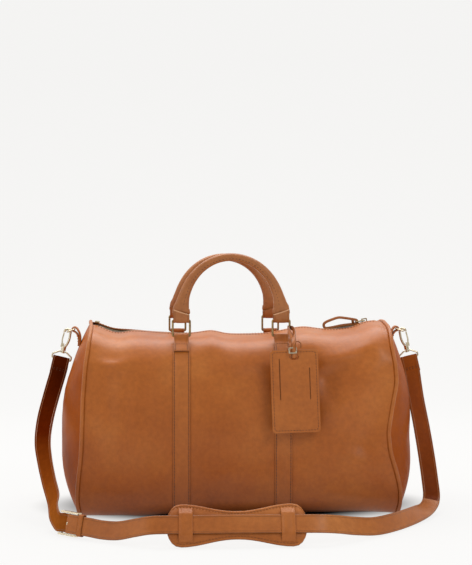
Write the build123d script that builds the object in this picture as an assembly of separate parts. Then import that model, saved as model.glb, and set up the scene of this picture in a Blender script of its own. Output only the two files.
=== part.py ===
"""Leather weekender bag: soft body with a zipped top, two rolled handles, luggage tag and shoulder strap.

Row frame, in millimetres: origin at the centre of the base face, +Z up, +X to the bag's right, -Y to its front.
"""
import math
import os

from build123d import *

# ---- driving dimensions of the body
BODY_HALF = 215.0        # half length of the front panel, between the piping loops
PIPING_X = 218.0         # where the piping loops stand
END_X = 221.0            # where the end panels start
DOME_X = 250.0           # furthest reach of an end panel
DEPTH_HALF = 121.0       # half depth at the fullest height
FULL_Z = 105.0           # height where the body is fullest
BASE_HALF = 112.0        # half depth at the base, before rounding
SKIN_Z = 1.4             # the front and back panels stop this far above the floor
TOP_Z = 249.0            # height of the zip line at mid length
ZIP_ARC = 1180.0         # radius of the gentle sag of the zip line
SHOULDER_Y = 100.0
SHOULDER_DROP = 10.0
ZIP_FLAT = 14.0          # half width of the flat land along the zip
LEATHER = 2.0
BASE_THICK = 3.4
BASE_PANEL_HALF = 97.0
PIPING_R = 2.8
PIPING_INSET = 1.4
LINING_GAP = 0.5
LINING_THICK = 0.6
CORNER_R, FULL_R, SHOULDER_R, LAND_R = 26.0, 400.0, 62.0, 60.0

# ---- zip
ZIP_MOUTH = 11.0         # half width between the leather edges
TAPE_THICK = 0.9
TAPE_DROP = 2.2          # the tape's top face lies this far under the zip line
TEETH_HALF = 2.4
TEETH_THICK = 2.4
TEETH_GAP = 0.6          # half the slit between the two rows, where the slider's neck runs
ZIP_LEFT, ZIP_RIGHT = -204.0, 204.0
SLIDER_X = 188.0         # the slider's place when the zip is shut
LINK_REACH = 13.0        # between the link's two end bars
LINK_LIFT = 4.2          # the link's height over the slider's top plate
PULL_THICK = 1.2

# ---- handles, rings and bands
HANDLE_X = {-1: -10.0, 1: -15.0}  # middle of the front and of the back handle, a little left of the bag's
HANDLE_SPAN = 70.0       # half distance between a handle's rings
BAND_WIDTH = 24.0
BAND_THICK = 1.6
BAND_GAP = 0.25
RING_Y = 72.0
RING_LOW_Z, RING_HIGH_Z = 249.0, 271.0
RING_WIRE = 1.5
RING_BAR_X = 12.0        # half distance between a ring's side bars, on their centres
LOOP_WIDTH = 20.0
RUN_GAP = 0.1            # running clearance round a wire
GRIP_R, CORE_R = 5.0, 3.4
GRIP_START_Z = 292.0
GRIP_PULL_Z = 382.0
GRIP_LEAN = 16.0

# ---- shoulder strap and its clips
STRAP_WIDTH = 24.0
STRAP_THICK = 2.8
CLIP_TILT = 13.5
D_BAR = (234.0, 255.0)   # x and z of a D-ring's bar
D_REACH = 10.6
D_HALF = 8.0
D_WIRE = 1.2
CLIP_X, CLIP_Z = 244.0, 251.5  # where the hook hangs on the D-ring
HOOK_R, HOOK_WIRE = 4.4, 1.7
HOOK_DROP = 0.9
CLIP_BAR_DROP = 40.0
PAD_LENGTH, PAD_END, PAD_WAIST, PAD_THICK = 176.0, 56.0, 36.0, 3.2

# ---- luggage tag
TAG_X, TAG_Y = 73.0, -127.0
TAG_LOW, TAG_HIGH = 122.0, 232.0
TAG_WIDTH = 64.0
TAG_HOLE_DROP = 9.0      # from the tag's top edge to its hole
TAG_BELT_WIDTH, TAG_BELT_THICK = 6.0, 1.4

os.makedirs("parts", exist_ok=True)


def save(name, *solids):
    """Writes one node: its separate solids, as one STEP file."""
    found = [s for shape in solids for s in shape.solids()]
    export_step(found[0] if len(found) == 1 else Compound(children=found), f"parts/{name}.step")


def zip_z(x, lift=0.0):
    """Height of the sagging zip line at x, with lift added along its radius."""
    return TOP_Z + ZIP_ARC - math.sqrt((ZIP_ARC - lift) ** 2 - x * x)


def mirror_x(shape):
    return mirror(shape, about=Plane.YZ)


# ---- body cross-section

def outline(x, out=0.0, share=1.0, at=None):
    """The body's cross-section at x as a face, out proud of the leather, and scaled by share about the fullest height."""
    top = zip_z(x)
    half = [
        (BASE_HALF + out, SKIN_Z - out),
        (DEPTH_HALF + out, FULL_Z),
        (SHOULDER_Y + out * 0.95, top - SHOULDER_DROP + out * 0.8),
        (ZIP_FLAT, top + out),
    ]
    ring = half + [(-y, z) for y, z in reversed(half)]
    radii = [CORNER_R + out, FULL_R, SHOULDER_R + out, LAND_R]
    place = x if at is None else at
    points = [(place, y * share, FULL_Z + (z - FULL_Z) * share) for y, z in ring]
    wire = FilletPolyline(*points, radius=[r * share for r in radii + radii[::-1]], close=True)
    return make_face(wire.edges()).face()


def tube(half, out):
    """A solid of the cross-section along x, from -half to half."""
    steps = [-half, -half / 2, 0, half / 2, half]
    return loft([outline(x, out) for x in steps])


def block(x0, x1, y0, y1, z0, z1):
    return Pos((x0 + x1) / 2, (y0 + y1) / 2, (z0 + z1) / 2) * Box(x1 - x0, y1 - y0, z1 - z0)


FAR = 400.0


def body_panels():
    shell = tube(BODY_HALF, 0) - tube(BODY_HALF + 1, -LEATHER)
    shell -= block(-FAR, FAR, -BASE_PANEL_HALF - 0.2, BASE_PANEL_HALF + 0.2, -10, 12)
    front = shell & block(-FAR, FAR, -FAR, -ZIP_MOUTH, 0, FAR)
    save("front_panel", front)
    save("back_panel", shell & block(-FAR, FAR, ZIP_MOUTH, FAR, 0, FAR))
    base = extrude(RectangleRounded(2 * BODY_HALF - 4, 2 * BASE_PANEL_HALF, 12), BASE_THICK)
    save("bottom_panel", base)
    board = extrude(RectangleRounded(400, 180, 10), 2.5)
    save("base_board", Pos(0, 0, BASE_THICK + 0.2) * board)


def dome(inset):
    """The solid under an end panel; inset makes it that much smaller on every side."""
    steps = [(END_X, 1.0), (229.0, 0.86), (239.0, 0.62), (247.0, 0.34), (DOME_X, 0.12)]
    shrink = inset / (TOP_Z / 2)
    sections = [outline(PIPING_X, 0, s - shrink * min(1, s * 2), x - inset) for x, s in steps]
    return loft(sections)


def end_panels():
    shell = dome(0) - dome(LEATHER)
    save("end_panel_right", shell)
    save("end_panel_left", mirror_x(shell))
    path = outline(PIPING_X, -PIPING_INSET).outer_wire()
    start = path.edges()[0]
    section = Plane(origin=start @ 0, z_dir=start % 0) * Circle(PIPING_R)
    piping = sweep(section, path=path)
    save("piping_right", piping)
    save("piping_left", mirror_x(piping))


def linings():
    out = LEATHER + LINING_GAP
    half = BODY_HALF - 1
    bag = tube(half, -out) - tube(half - LINING_THICK, -out - LINING_THICK)
    bag -= block(-FAR, FAR, -ZIP_MOUTH - 4.4, ZIP_MOUTH + 4.4, 200, FAR)
    bag = bag & block(-FAR, FAR, -FAR, FAR, BASE_THICK + 3.2, FAR)
    floor = extrude(RectangleRounded(2 * half - 10, 186, 12), LINING_THICK)
    save("lining", bag, Pos(0, 0, BASE_THICK + 2.9) * floor)
    place = Pos(0, 107.0, 140) * Rot(5.2, 0, 0)
    save("inner_pocket", place * Box(220, 0.8, 100))
    save("inner_pocket_binding", place * Pos(0, -1.0, 44) * Box(220, 1.0, 12))


# ---- zip

def zip_strip(y0, y1, low, high, x0=ZIP_LEFT, x1=ZIP_RIGHT):
    """A strip that follows the zip line, between two heights above it, from y0 to y1."""
    mid = (x0 + x1) / 2
    under = ThreePointArc((x0, 0, zip_z(x0, low)), (mid, 0, zip_z(mid, low)), (x1, 0, zip_z(x1, low)))
    over = ThreePointArc((x1, 0, zip_z(x1, high)), (mid, 0, zip_z(mid, high)), (x0, 0, zip_z(x0, high)))
    face = make_face([under, Line(under @ 1, over @ 0), over, Line(over @ 1, under @ 0)])
    return Pos(0, y0, 0) * extrude(face, amount=y1 - y0, dir=(0, 1, 0))


def on_zip(shape, x):
    """Puts a shape that was built at mid length on the zip line at x."""
    angle = math.degrees(math.asin(x / ZIP_ARC))
    return Pos(0, 0, TOP_Z + ZIP_ARC) * Rot(0, -angle, 0) * Pos(0, 0, -TOP_Z - ZIP_ARC) * shape


def zip_parts():
    teeth_top = -TAPE_DROP + (TEETH_THICK - TAPE_THICK) / 2
    for side, name in ((-1, "front"), (1, "back")):
        lo, hi = sorted((side * (ZIP_MOUTH + 4), side * TEETH_HALF))
        tape = zip_strip(lo, hi, -TAPE_DROP - TAPE_THICK, -TAPE_DROP)
        lo, hi = sorted((side * TEETH_HALF, side * TEETH_GAP))
        save(f"zip_tape_{name}", tape)
        save(f"zip_teeth_{name}", zip_strip(lo, hi, teeth_top - TEETH_THICK, teeth_top))
    stops = []
    for x in (ZIP_LEFT, ZIP_RIGHT - 6):
        stops.append(zip_strip(-ZIP_MOUTH + 1, ZIP_MOUTH - 1, teeth_top + 0.2, teeth_top + 1.8, x, x + 6))
    save("zip_end_tabs", *stops)

    slider_parts(teeth_top)


def slider_parts(teeth_top):
    """The slider at its shut place, the wire link on its bridge, and the leather loop on the link."""
    top = TOP_Z + teeth_top + 0.3
    low = TOP_Z + teeth_top - TEETH_THICK - 0.3
    plate = RectangleRounded(13, 8.6, 2.4)
    slider = Pos(0, 0, top) * extrude(plate, 1.4) + Pos(0, 0, low - 1.2) * extrude(plate, 1.2)
    slider += block(-4.5, 5.5, -TEETH_GAP + 0.3, TEETH_GAP - 0.3, low - 1, top + 1)
    slider += block(-4, 4, -1.3, 1.3, top + 1.2, top + 7.2) - block(-2.6, 2.6, -2, 2, top + 2.6, top + 5.8)
    save("zip_slider", on_zip(slider, SLIDER_X))
    half = LINK_REACH / 2
    link = wire_loop([(-half, -3.5, 0), (half, -3.5, 0), (half, 3.5, 0), (-half, 3.5, 0)], 0.8, 1.3, True)
    save("zip_link", on_zip(Pos(-LINK_REACH / 2, 0, top + LINK_LIFT) * link, SLIDER_X))
    save("zip_pull", on_zip(Pos(-LINK_REACH, 0, top + LINK_LIFT) * pull_loop(), SLIDER_X))


def pull_loop():
    """An open teardrop loop of leather thong; its origin is on the link's far bar."""
    corners = [(1.6, 1.7), (-24, 9.6), (-45.5, 4.6), (-44.5, -1.6), (-20, -0.9), (1.6, -1.7)]
    inner = make_face(FilletPolyline(*corners, radius=[1.4, 12, 2.6, 2.4, 20, 1.4], close=True).edges())
    loop = offset(inner, PULL_THICK, kind=Kind.ARC) - inner
    return Rot(90, 0, 0) * extrude(loop, 2.1, both=True)


# ---- handles

def ring_at(x, y):
    """A rounded rectangular ring of wire in the XZ plane."""
    z = (RING_LOW_Z + RING_HIGH_Z) / 2
    half_z = (RING_HIGH_Z - RING_LOW_Z) / 2
    points = [(sx * RING_BAR_X, 0, sz * half_z) for sx, sz in ((-1, -1), (1, -1), (1, 1), (-1, 1))]
    path = Wire(FilletPolyline(*points, radius=1.9, close=True).edges())
    start = path.edges()[0]
    wire = sweep(Plane(origin=start @ 0, z_dir=start % 0) * Circle(RING_WIRE), path=path)
    return Pos(x, y, z) * wire


def plank(points, thick, width, x):
    """A flat strap whose profile follows points in the YZ plane, width wide about x."""
    sides = ([], [])
    for i, p in enumerate(points):
        a, b = points[max(i - 1, 0)], points[min(i + 1, len(points) - 1)]
        along = Vector(0, b[0] - a[0], b[1] - a[1]).normalized()
        normal = Vector(0, -along.Z, along.Y) * (thick / 2)
        here = Vector(x - width / 2, p[0], p[1])
        sides[0].append(here + normal)
        sides[1].append(here - normal)
    face = make_face(Polyline(*sides[0], *reversed(sides[1]), close=True).edges())
    return extrude(face, amount=width, dir=(1, 0, 0))


def eye_tube(x, y, z, width, wall=1.6):
    """Leather folded round a bar along x, open enough for the bar to turn."""
    inner = RING_WIRE + RUN_GAP
    tube_ = Cylinder(inner + wall, width) - Cylinder(inner, width + 1)
    return Pos(x, y, z) * Rot(0, 90, 0) * tube_


def bar_room(x, y, z, width):
    return Pos(x, y, z) * Rot(0, 90, 0) * Cylinder(RING_WIRE + RUN_GAP, width)


def ring_loop(x, side):
    """The leather loop that holds a ring to the shoulder of the body."""
    y = side * RING_Y
    reach = [(78.4, 241.2), (83.0, 237.9), (88.0, 234.0), (93.0, 229.4), (98.2, 223.4)]
    strap = plank([(side * a, b) for a, b in reach], 1.6, LOOP_WIDTH, x)
    neck = plank([(side * a, b) for a, b in [(73.4, 246.6), (75.2, 243.8), (78.6, 241.0)]], 2.0, LOOP_WIDTH, x)
    whole = eye_tube(x, y, RING_LOW_Z, LOOP_WIDTH) + neck + strap
    return whole - bar_room(x, y, RING_LOW_Z, LOOP_WIDTH + 2)


def band(x, side):
    """A trim band sewn down the body, from the ring loop to the base seam."""
    lo, hi = x - BAND_WIDTH / 2, x + BAND_WIDTH / 2
    outer = loft([outline(lo, BAND_GAP + BAND_THICK), outline(hi, BAND_GAP + BAND_THICK)], ruled=True)
    inner = loft([outline(lo - 1, BAND_GAP), outline(hi + 1, BAND_GAP)], ruled=True)
    y0, y1 = sorted((side * FAR, side * 90.0))
    return (outer - inner) & block(lo, hi, y0, y1, 6.0, 221.0)


def ring_places(side):
    middle = HANDLE_X[side]
    return middle - HANDLE_SPAN, middle + HANDLE_SPAN


def grip_path(side):
    y = side * RING_Y
    left, right = ring_places(side)
    return Bezier(
        (left + 1.0, y, GRIP_START_Z),
        (left + GRIP_LEAN, y, GRIP_PULL_Z),
        (right - GRIP_LEAN, y, GRIP_PULL_Z),
        (right - 1.0, y, GRIP_START_Z),
    )


def grip_end(x, side, toward):
    """A handle's flattened end: leather that wraps the ring's upper bar and narrows to the round grip."""
    y = side * RING_Y
    start = grip_path(side)
    end, turn = (start @ 0, start % 0) if toward > 0 else (start @ 1, (start % 1) * -1)
    low = Plane((x, y, RING_HIGH_Z + 3.0)) * RectangleRounded(22, 6.4, 3.0)
    high = Plane(origin=end, x_dir=Vector(turn.Z, 0, -turn.X), z_dir=turn) * RectangleRounded(10.6, 10.6, 5.2)
    whole = loft([low, high]) + eye_tube(x, y, RING_HIGH_Z, LOOP_WIDTH, 1.8)
    return whole - bar_room(x, y, RING_HIGH_Z, 30)


def handle(side, name):
    path = grip_path(side)
    section = Plane(origin=path @ 0, z_dir=path % 0)
    outer = sweep(section * Circle(GRIP_R), path=path)
    core = sweep(section * Circle(CORE_R), path=path)
    save(f"handle_{name}_grip", outer - core)
    save(f"handle_{name}_core", sweep(section * Circle(CORE_R - 0.2), path=path))
    places = ring_places(side)
    ends = [grip_end(x, side, toward) for x, toward in zip(places, (1, -1))]
    save(f"handle_{name}_ends", *ends)
    save(f"rings_{name}", *[ring_at(x, side * RING_Y) for x in places])
    save(f"ring_loops_{name}", *[ring_loop(x, side) for x in places])
    save(f"bands_{name}", *[band(x, side) for x in places])


# ---- ribbons that turn in space

def ribbon(route, width, thick, first=0, last=None):
    """A strap over stations first to last of route, each a point and the direction of the strap's width there."""
    faces = []
    points = [Vector(*p) for p, _ in route]
    for i, (_, across) in enumerate(route):
        along = (points[min(i + 1, len(points) - 1)] - points[max(i - 1, 0)]).normalized()
        wide = Vector(*across)
        wide = (wide - along * wide.dot(along)).normalized()
        faces.append(Plane(origin=points[i], x_dir=wide, z_dir=along) * Rectangle(width, thick))
    stop = len(route) if last is None else last + 1
    return loft(faces[first:stop], ruled=True)


# ---- strap clips, right side; the left one is mirrored

def clip_plane():
    """Origin in the middle of the hook, which hangs HOOK_DROP below the D-ring's bar; z up the clip."""
    across = Vector(1, 0, 0).rotate(Axis.Y, -CLIP_TILT)
    up = Vector(0, 0, 1).rotate(Axis.Y, -CLIP_TILT)
    return Plane(origin=Vector(CLIP_X, 0, CLIP_Z) - up * HOOK_DROP, x_dir=across, z_dir=up)


def wire_loop(points, radius, fillet, closed):
    path = Wire(FilletPolyline(*points, radius=fillet, close=closed).edges())
    start = path.edges()[0]
    return sweep(Plane(origin=start @ 0, z_dir=start % 0) * Circle(radius), path=path)


def clip_parts():
    place = clip_plane().location
    top = ThreePointArc((HOOK_R * math.cos(0.1), 0, -HOOK_R * math.sin(0.1)), (0, 0, HOOK_R), (-HOOK_R, 0, 0))
    leg = Spline((-HOOK_R, 0, 0), (-HOOK_R - 0.4, 0, -8), (-1.5, 0, -21), tangents=[(0, 0, -1), (0.55, 0, -1)])
    arc = sweep(Plane(origin=top @ 0, z_dir=top % 0) * Circle(HOOK_WIRE), path=top)
    stem = sweep(Plane(origin=leg @ 0, z_dir=leg % 0) * Circle(HOOK_WIRE), path=leg)
    barrel = Pos(0, 0, -24) * (Cylinder(3.4, 6) - Pos(0, 0, -1.2) * Cylinder(1.75, 6))
    ear = block(0.6, 5.0, -2.6, 2.6, -22.4, -17.0) - block(0.4, 6, -1.15, 1.15, -21.4, -15)
    pin = Pos(3.4, 0, -18.9) * Rot(90, 0, 0) * Cylinder(0.8, 5.6)
    hook = arc + stem + barrel + ear + pin
    save("clip_hook_right", place * hook)
    save("clip_hook_left", mirror_x(place * hook))
    gate = plank_xz([(3.4, -18.9), (4.9, -12.0), (4.5, -1.2)], 1.9, 2.0)
    gate += Pos(3.4, 0, -18.9) * Rot(90, 0, 0) * Cylinder(1.7, 2.0)
    gate -= Pos(3.4, 0, -18.9) * Rot(90, 0, 0) * Cylinder(0.88, 4)
    save("clip_gate_right", place * gate)
    save("clip_gate_left", mirror_x(place * gate))
    half = STRAP_WIDTH / 2 + 1.8
    bar = -CLIP_BAR_DROP
    points = [(half, 0, bar), (half, 0, bar + 5.5), (5, 0, bar + 11.0)]
    points = [(-x, y, z) for x, y, z in points] + points[::-1]
    loop = wire_loop(points, 1.2, 1.8, True)
    post = Pos(0, 0, -28.2) * Cylinder(1.65, 5.6) + Pos(0, 0, -30.2) * Cylinder(2.7, 1.4)
    save("clip_loop_right", place * (loop + post))
    save("clip_loop_left", mirror_x(place * (loop + post)))
    d_ring()


def plank_xz(points, thick, width):
    """A flat bar whose profile follows points in the XZ plane, width wide along y."""
    path = [Vector(x, 0, z) for x, z in points]
    sides = ([], [])
    for i, p in enumerate(path):
        along = (path[min(i + 1, len(path) - 1)] - path[max(i - 1, 0)]).normalized()
        normal = Vector(-along.Z, 0, along.X) * (thick / 2)
        sides[0].append(p + normal)
        sides[1].append(p - normal)
    face = make_face(Polyline(*sides[0], *reversed(sides[1]), close=True).edges())
    return extrude(face, amount=width / 2, dir=(0, 1, 0), both=True)


def d_ring():
    bx, bz = D_BAR
    drop = Vector(CLIP_X - bx, 0, CLIP_Z - bz).normalized()
    frame = Plane(origin=(bx, 0, bz), x_dir=drop, z_dir=drop.cross(Vector(0, 1, 0)))
    points = [(0, -D_HALF), (0, D_HALF), (D_REACH, D_HALF), (D_REACH, -D_HALF)]
    ring = wire_loop([frame.from_local_coords((*p, 0)) for p in points], D_WIRE, 1.7, True)
    save("d_ring_right", ring)
    save("d_ring_left", mirror_x(ring))
    eye = Pos(bx, 0, bz) * Rot(90, 0, 0) * (Cylinder(D_WIRE + 1.7, 12) - Cylinder(D_WIRE + RUN_GAP, 14))
    profile = [(-2.4, -1.4), (2.2, -1.6), (5.0, -22), (3.4, -22), (-2.4, -8)]
    points = [(bx + x, -6, bz + z) for x, z in profile]
    tail = extrude(make_face(Polyline(*points, close=True).edges()), amount=12, dir=(0, 1, 0))
    room = Pos(bx, 0, bz) * Rot(90, 0, 0) * Cylinder(D_WIRE + RUN_GAP, 14)
    tab = eye + tail - room - dome(0)
    tab = max(tab.solids(), key=lambda s: s.volume)
    save("d_ring_tab_right", tab)
    save("d_ring_tab_left", mirror_x(tab))


# ---- shoulder strap: stations by hand, from each clip down to the floor in front of the bag

LEAN = 30.0              # the pad stands on its lower edge and leans back this much
PAD_X, PAD_Y, PAD_Z = -12.0, -288.0, 27.0
PAD_UP = (0, 0.5, 0.866)
LONG_RUN = [
    ((257.6, -1, 190), (1, 0, -0.23)),
    ((261, -20, 156), (1, 0, -0.24)),
    ((265, -38, 118), (1, 0, -0.2)),
    ((269, -54, 80), (1, 0, -0.16)),
    ((272, -66, 46), (1, 0, -0.1)),
    ((272, -80, 22), (1, -0.12, -0.12)),
    ((262, -106, 12.6), (0.9, -0.35, -0.3)),
    ((240, -150, 12.2), (0.62, -0.35, -0.72)),
    ((205, -200, 12.2), (0.36, -0.2, -0.9)),
    ((170, -238, 13.2), (0.15, -0.4, -0.88)),
    ((140, -260, 18.0), (0, -0.46, -0.88)),
    ((116, -277, 23.6), (0, -0.5, -0.866)),
    ((PAD_X + 104, PAD_Y, PAD_Z), (0, -0.5, -0.866)),
    ((PAD_X - 104, PAD_Y, PAD_Z), (0, -0.5, -0.866)),
    ((-138, -280, 22.4), (0, -0.5, -0.866)),
    ((-160, -267, 16.2), (0, -0.4, -0.9)),
    ((-180, -254, 14.6), (0, -0.32, -0.94)),
]
LONG_SPLIT = 11          # station where the long strap's two nodes meet
BUCKLE = (-226.0, -226.0, 17.7)
BUCKLE_ALONG = (0.85, -0.5, -0.06)
BUCKLE_ACROSS = (0.14, 0.13, 0.98)
SHORT_RUN = [
    ((-257.6, -1, 190), (1, 0, 0.23)),
    ((-266, -24, 160), (1, 0, 0.3)),
    ((-272, -52, 130), (1, 0, 0.2)),
    ((-273, -84, 102), (1, 0, 0.1)),
    ((-271, -118, 76), (0.96, 0, 0.3)),
    ((-266, -152, 52), (0.8, 0, 0.6)),
    ((-261, -176, 35), (0.55, 0.1, 0.85)),
]


def buckle_plane():
    """Origin on the buckle's middle bar, x across the strap, z along it towards the pad, y into its back."""
    along = Vector(*BUCKLE_ALONG).normalized()
    across = Vector(*BUCKLE_ACROSS)
    across = (across - along * across.dot(along)).normalized()
    return Plane(origin=BUCKLE, x_dir=across, z_dir=along)


def on_buckle(frame, depth, along, across):
    point = frame.from_local_coords((0, depth, along))
    return ((point.X, point.Y, point.Z), tuple(frame.x_dir * across))


def strap_clip_end():
    """The strap's doubled end, folded round the bar of the clip's loop."""
    bar = -CLIP_BAR_DROP
    room = Pos(0, 0, bar) * Rot(0, 90, 0) * Cylinder(1.3, 40)
    eye = Pos(0, 0, bar) * Rot(0, 90, 0) * Cylinder(3.9, STRAP_WIDTH)
    tail = block(-STRAP_WIDTH / 2, STRAP_WIDTH / 2, -2.4, 2.4, bar - 20, bar)
    return clip_plane().location * (eye + tail - room)


def straps():
    right_end = strap_clip_end()
    left_end = mirror_x(right_end)
    frame = buckle_plane()
    long_run = LONG_RUN + [on_buckle(frame, 0, 35, -1), on_buckle(frame, 0, 12, -1)]
    right = ribbon(long_run, STRAP_WIDTH, STRAP_THICK, 0, LONG_SPLIT) - right_end
    save("strap_long_right", right, right_end)
    middle = ribbon(long_run, STRAP_WIDTH, STRAP_THICK, LONG_SPLIT)
    save("strap_long_middle", middle, frame.location * buckle_fold())
    short_run = SHORT_RUN + [on_buckle(frame, -3.6, -46, 1), on_buckle(frame, -3.6, -30, 1)]
    short = ribbon(short_run, STRAP_WIDTH, 1.8) - left_end
    save("strap_short", short, left_end, frame.location * strap_tip())
    buckle(frame.location)


def buckle_fold():
    """The long strap's end, folded round the buckle's middle bar, with a slot for the prong."""
    fold = Rot(0, 90, 0) * Cylinder(2.65, STRAP_WIDTH)
    fold += block(-12, 12, -1.4, 1.4, 0, 12)
    fold -= Rot(0, 90, 0) * Cylinder(1.35, 40)
    return fold - block(-2.2, 2.2, -6, 6, -6, 4.5)


def strap_tip():
    """The short strap's punched tip, through the buckle and the keeper."""
    tip = Pos(0, -3.6, -5) * Rot(90, 0, 0) * extrude(RectangleRounded(STRAP_WIDTH, 74, 8), 0.9, both=True)
    tip &= block(-13, 13, -8, 0, -30, 40)
    tip -= block(-2.3, 2.3, -8, 0, -7.5, 1.5)
    for z in (14.0, -20.0):
        tip -= Pos(0, -3.6, z) * Rot(90, 0, 0) * Cylinder(1.6, 6)
    return tip


def buckle(place):
    bars = [Pos(0, y, z) * Rot(0, 90, 0) * Cylinder(1.25, 29) for y, z in ((-6.4, -11.6), (-6.4, 11.6), (0, 0))]
    frame = bars[0] + bars[1] + bars[2]
    for x in (-14.2, 14.2):
        frame += block(x - 1.2, x + 1.2, -7.6, 1.4, -13, 13)
    save("buckle_frame", place * frame)
    room = Rot(0, 90, 0) * Cylinder(1.33, 10)
    prong = Rot(0, 90, 0) * Cylinder(2.5, 3.6)
    prong += block(-1.2, 1.2, -9.9, -2.0, -3.0, -1.2) + block(-1.2, 1.2, -9.9, -8.2, -13.4, -1.2)
    save("buckle_prong", place * (prong - room))
    keeper = block(-14.0, 14.0, -6.4, 3.0, 15.5, 22.5) - block(-12.5, 12.5, -4.9, 1.8, 15, 23)
    save("strap_keeper", place * keeper)


def pad_sheet():
    """The pad's waisted outline, with a slot near each end."""
    ends, waist, half = PAD_END / 2, PAD_WAIST / 2, PAD_LENGTH / 2
    mid = (ends + waist) / 2 + 1
    up = [(-half + 14, ends), (-half / 2, mid), (0, waist), (half / 2, mid), (half - 14, ends)]
    low = [(x, -z) for x, z in reversed(up)]
    right = ThreePointArc((half - 14, ends), (half, 0), (half - 14, -ends))
    left = ThreePointArc((-half + 14, -ends), (-half, 0), (-half + 14, ends))
    return make_face([Spline(*up), right, Spline(*low), left])


def shoulder_pad():
    """A leather pad that carries the strap over its face, under a bridge near each end."""
    lean = Pos(PAD_X, PAD_Y, PAD_Z) * Rot(-LEAN, 0, 0)
    front = STRAP_THICK / 2 + 0.3
    body = extrude(Plane.XZ * pad_sheet(), amount=PAD_THICK / 2, both=True)
    save("shoulder_pad", lean * Pos(0, front + PAD_THICK / 2, 0) * body)
    bridges = []
    for x in (-PAD_LENGTH / 2 + 24, PAD_LENGTH / 2 - 24):
        bridge = block(x - 9, x + 9, -front - 2.0, -front, -17, 17)
        for z in (-15.2, 15.2):
            bridge += block(x - 9, x + 9, -front - 0.1, front, z - 1.8, z + 1.8)
        bridges.append(lean * bridge)
    save("pad_bridges", *bridges)


# ---- luggage tag

TAG_LEAN = 5.0           # the tag leans back with the front panel
TAG_TWIST = 1.7


def tag_place():
    """Origin at the tag's middle, x to its right, y up it, z out of its face."""
    return Pos(TAG_X, TAG_Y, (TAG_LOW + TAG_HIGH) / 2) * Rot(90 - TAG_LEAN, 0, 0) * Rot(0, 0, TAG_TWIST)


def tag_parts():
    place = tag_place()
    height = TAG_HIGH - TAG_LOW
    hole = Pos(0, height / 2 - TAG_HOLE_DROP) * SlotOverall(12, 7.0)
    sheet = RectangleRounded(TAG_WIDTH, height, 5) - hole
    tray = Pos(0, 0, -1.9) * extrude(sheet, 2.2)
    tray -= Pos(0, -6, -0.4) * extrude(RectangleRounded(TAG_WIDTH - 7, height - 22, 2), 4)
    face = sheet
    for x in (-20.5, 20.5):
        face -= Pos(x, 16) * Rectangle(0.8, 56)
    save("tag_back", place * tray)
    save("tag_card", place * Pos(0, -6, -0.35) * extrude(RectangleRounded(TAG_WIDTH - 8, height - 23, 2), 0.5))
    save("tag_front", place * Pos(0, 0, 0.3) * extrude(face, 1.5))
    tag_belt(place)


def tag_belt(place):
    """A narrow leather strap from the ring's side bar, through the tag's hole and back, with a small buckle."""
    bar_x = ring_places(-1)[1] + RING_BAR_X
    mid_z = (RING_LOW_Z + RING_HIGH_Z) / 2
    hole_y = (TAG_HIGH - TAG_LOW) / 2 - TAG_HOLE_DROP
    up = (0, 0, 1)
    wide = (1, 0, 0)

    def at_hole(y, z):
        point = place * Pos(0, hole_y + y, z)
        return tuple(point.position)

    run = [
        (at_hole(-0.6, 3.6), wide),
        (at_hole(9, 4.4), wide),
        (at_hole(20, 2.4), (0.95, 0, 0.3)),
        ((bar_x + 3.4, -104, mid_z - 4), (0.5, 0, 0.86)),
        ((bar_x + 3.2, -86, mid_z), up),
        ((bar_x + 2.5, -74, mid_z), up),
        ((bar_x + 2.2, -67.2, mid_z), up),
        ((bar_x, -65.4, mid_z), up),
        ((bar_x - 2.2, -67.2, mid_z), up),
        ((bar_x - 2.5, -74, mid_z), up),
        ((bar_x - 2.8, -86, mid_z), up),
        ((bar_x - 3.4, -103, mid_z - 3), (0.5, 0, 0.86)),
        (at_hole(21, -3.0), (0.95, 0, 0.3)),
        (at_hole(9, -4.2), wide),
        (at_hole(-0.6, -4.0), wide),
    ]
    belt = ribbon(run, TAG_BELT_WIDTH, TAG_BELT_THICK)
    bottom = Pos(0, hole_y - 0.6, -0.2) * block(-3, 3, -0.7, 0.7, -4.0, 4.1)
    belt_end = place * bottom
    save("tag_belt", belt + belt_end)
    frame = extrude(RectangleRounded(11.5, 8.6, 1.5), 0.8, both=True)
    frame -= extrude(RectangleRounded(7.6, 5.4, 0.8), 2, both=True)
    save("tag_buckle", place * Pos(0, hole_y + 9, 6.4) * frame)


body_panels()
end_panels()
linings()
zip_parts()
handle(-1, "front")
handle(1, "back")
clip_parts()
straps()
shoulder_pad()
tag_parts()
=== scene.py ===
"""Leather weekender bag on a pale floor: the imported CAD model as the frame, with soft pieces on it."""
import math

import bmesh
import bpy
import numpy as np
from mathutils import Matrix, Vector, noise


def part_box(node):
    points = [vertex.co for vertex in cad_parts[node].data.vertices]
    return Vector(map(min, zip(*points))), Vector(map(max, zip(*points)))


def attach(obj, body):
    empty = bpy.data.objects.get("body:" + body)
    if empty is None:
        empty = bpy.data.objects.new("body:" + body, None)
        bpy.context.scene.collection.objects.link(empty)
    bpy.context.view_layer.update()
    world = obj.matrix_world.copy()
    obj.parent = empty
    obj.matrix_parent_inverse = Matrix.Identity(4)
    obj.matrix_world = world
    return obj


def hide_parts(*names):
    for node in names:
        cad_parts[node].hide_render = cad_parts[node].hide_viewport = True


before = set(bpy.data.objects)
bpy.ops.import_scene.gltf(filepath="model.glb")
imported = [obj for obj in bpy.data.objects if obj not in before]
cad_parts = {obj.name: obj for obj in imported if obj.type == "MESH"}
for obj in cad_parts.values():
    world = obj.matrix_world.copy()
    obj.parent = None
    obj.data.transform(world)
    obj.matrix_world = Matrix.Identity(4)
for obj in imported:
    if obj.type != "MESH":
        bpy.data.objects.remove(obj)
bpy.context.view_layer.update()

# ---------------------------------------------------------------- materials


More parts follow.
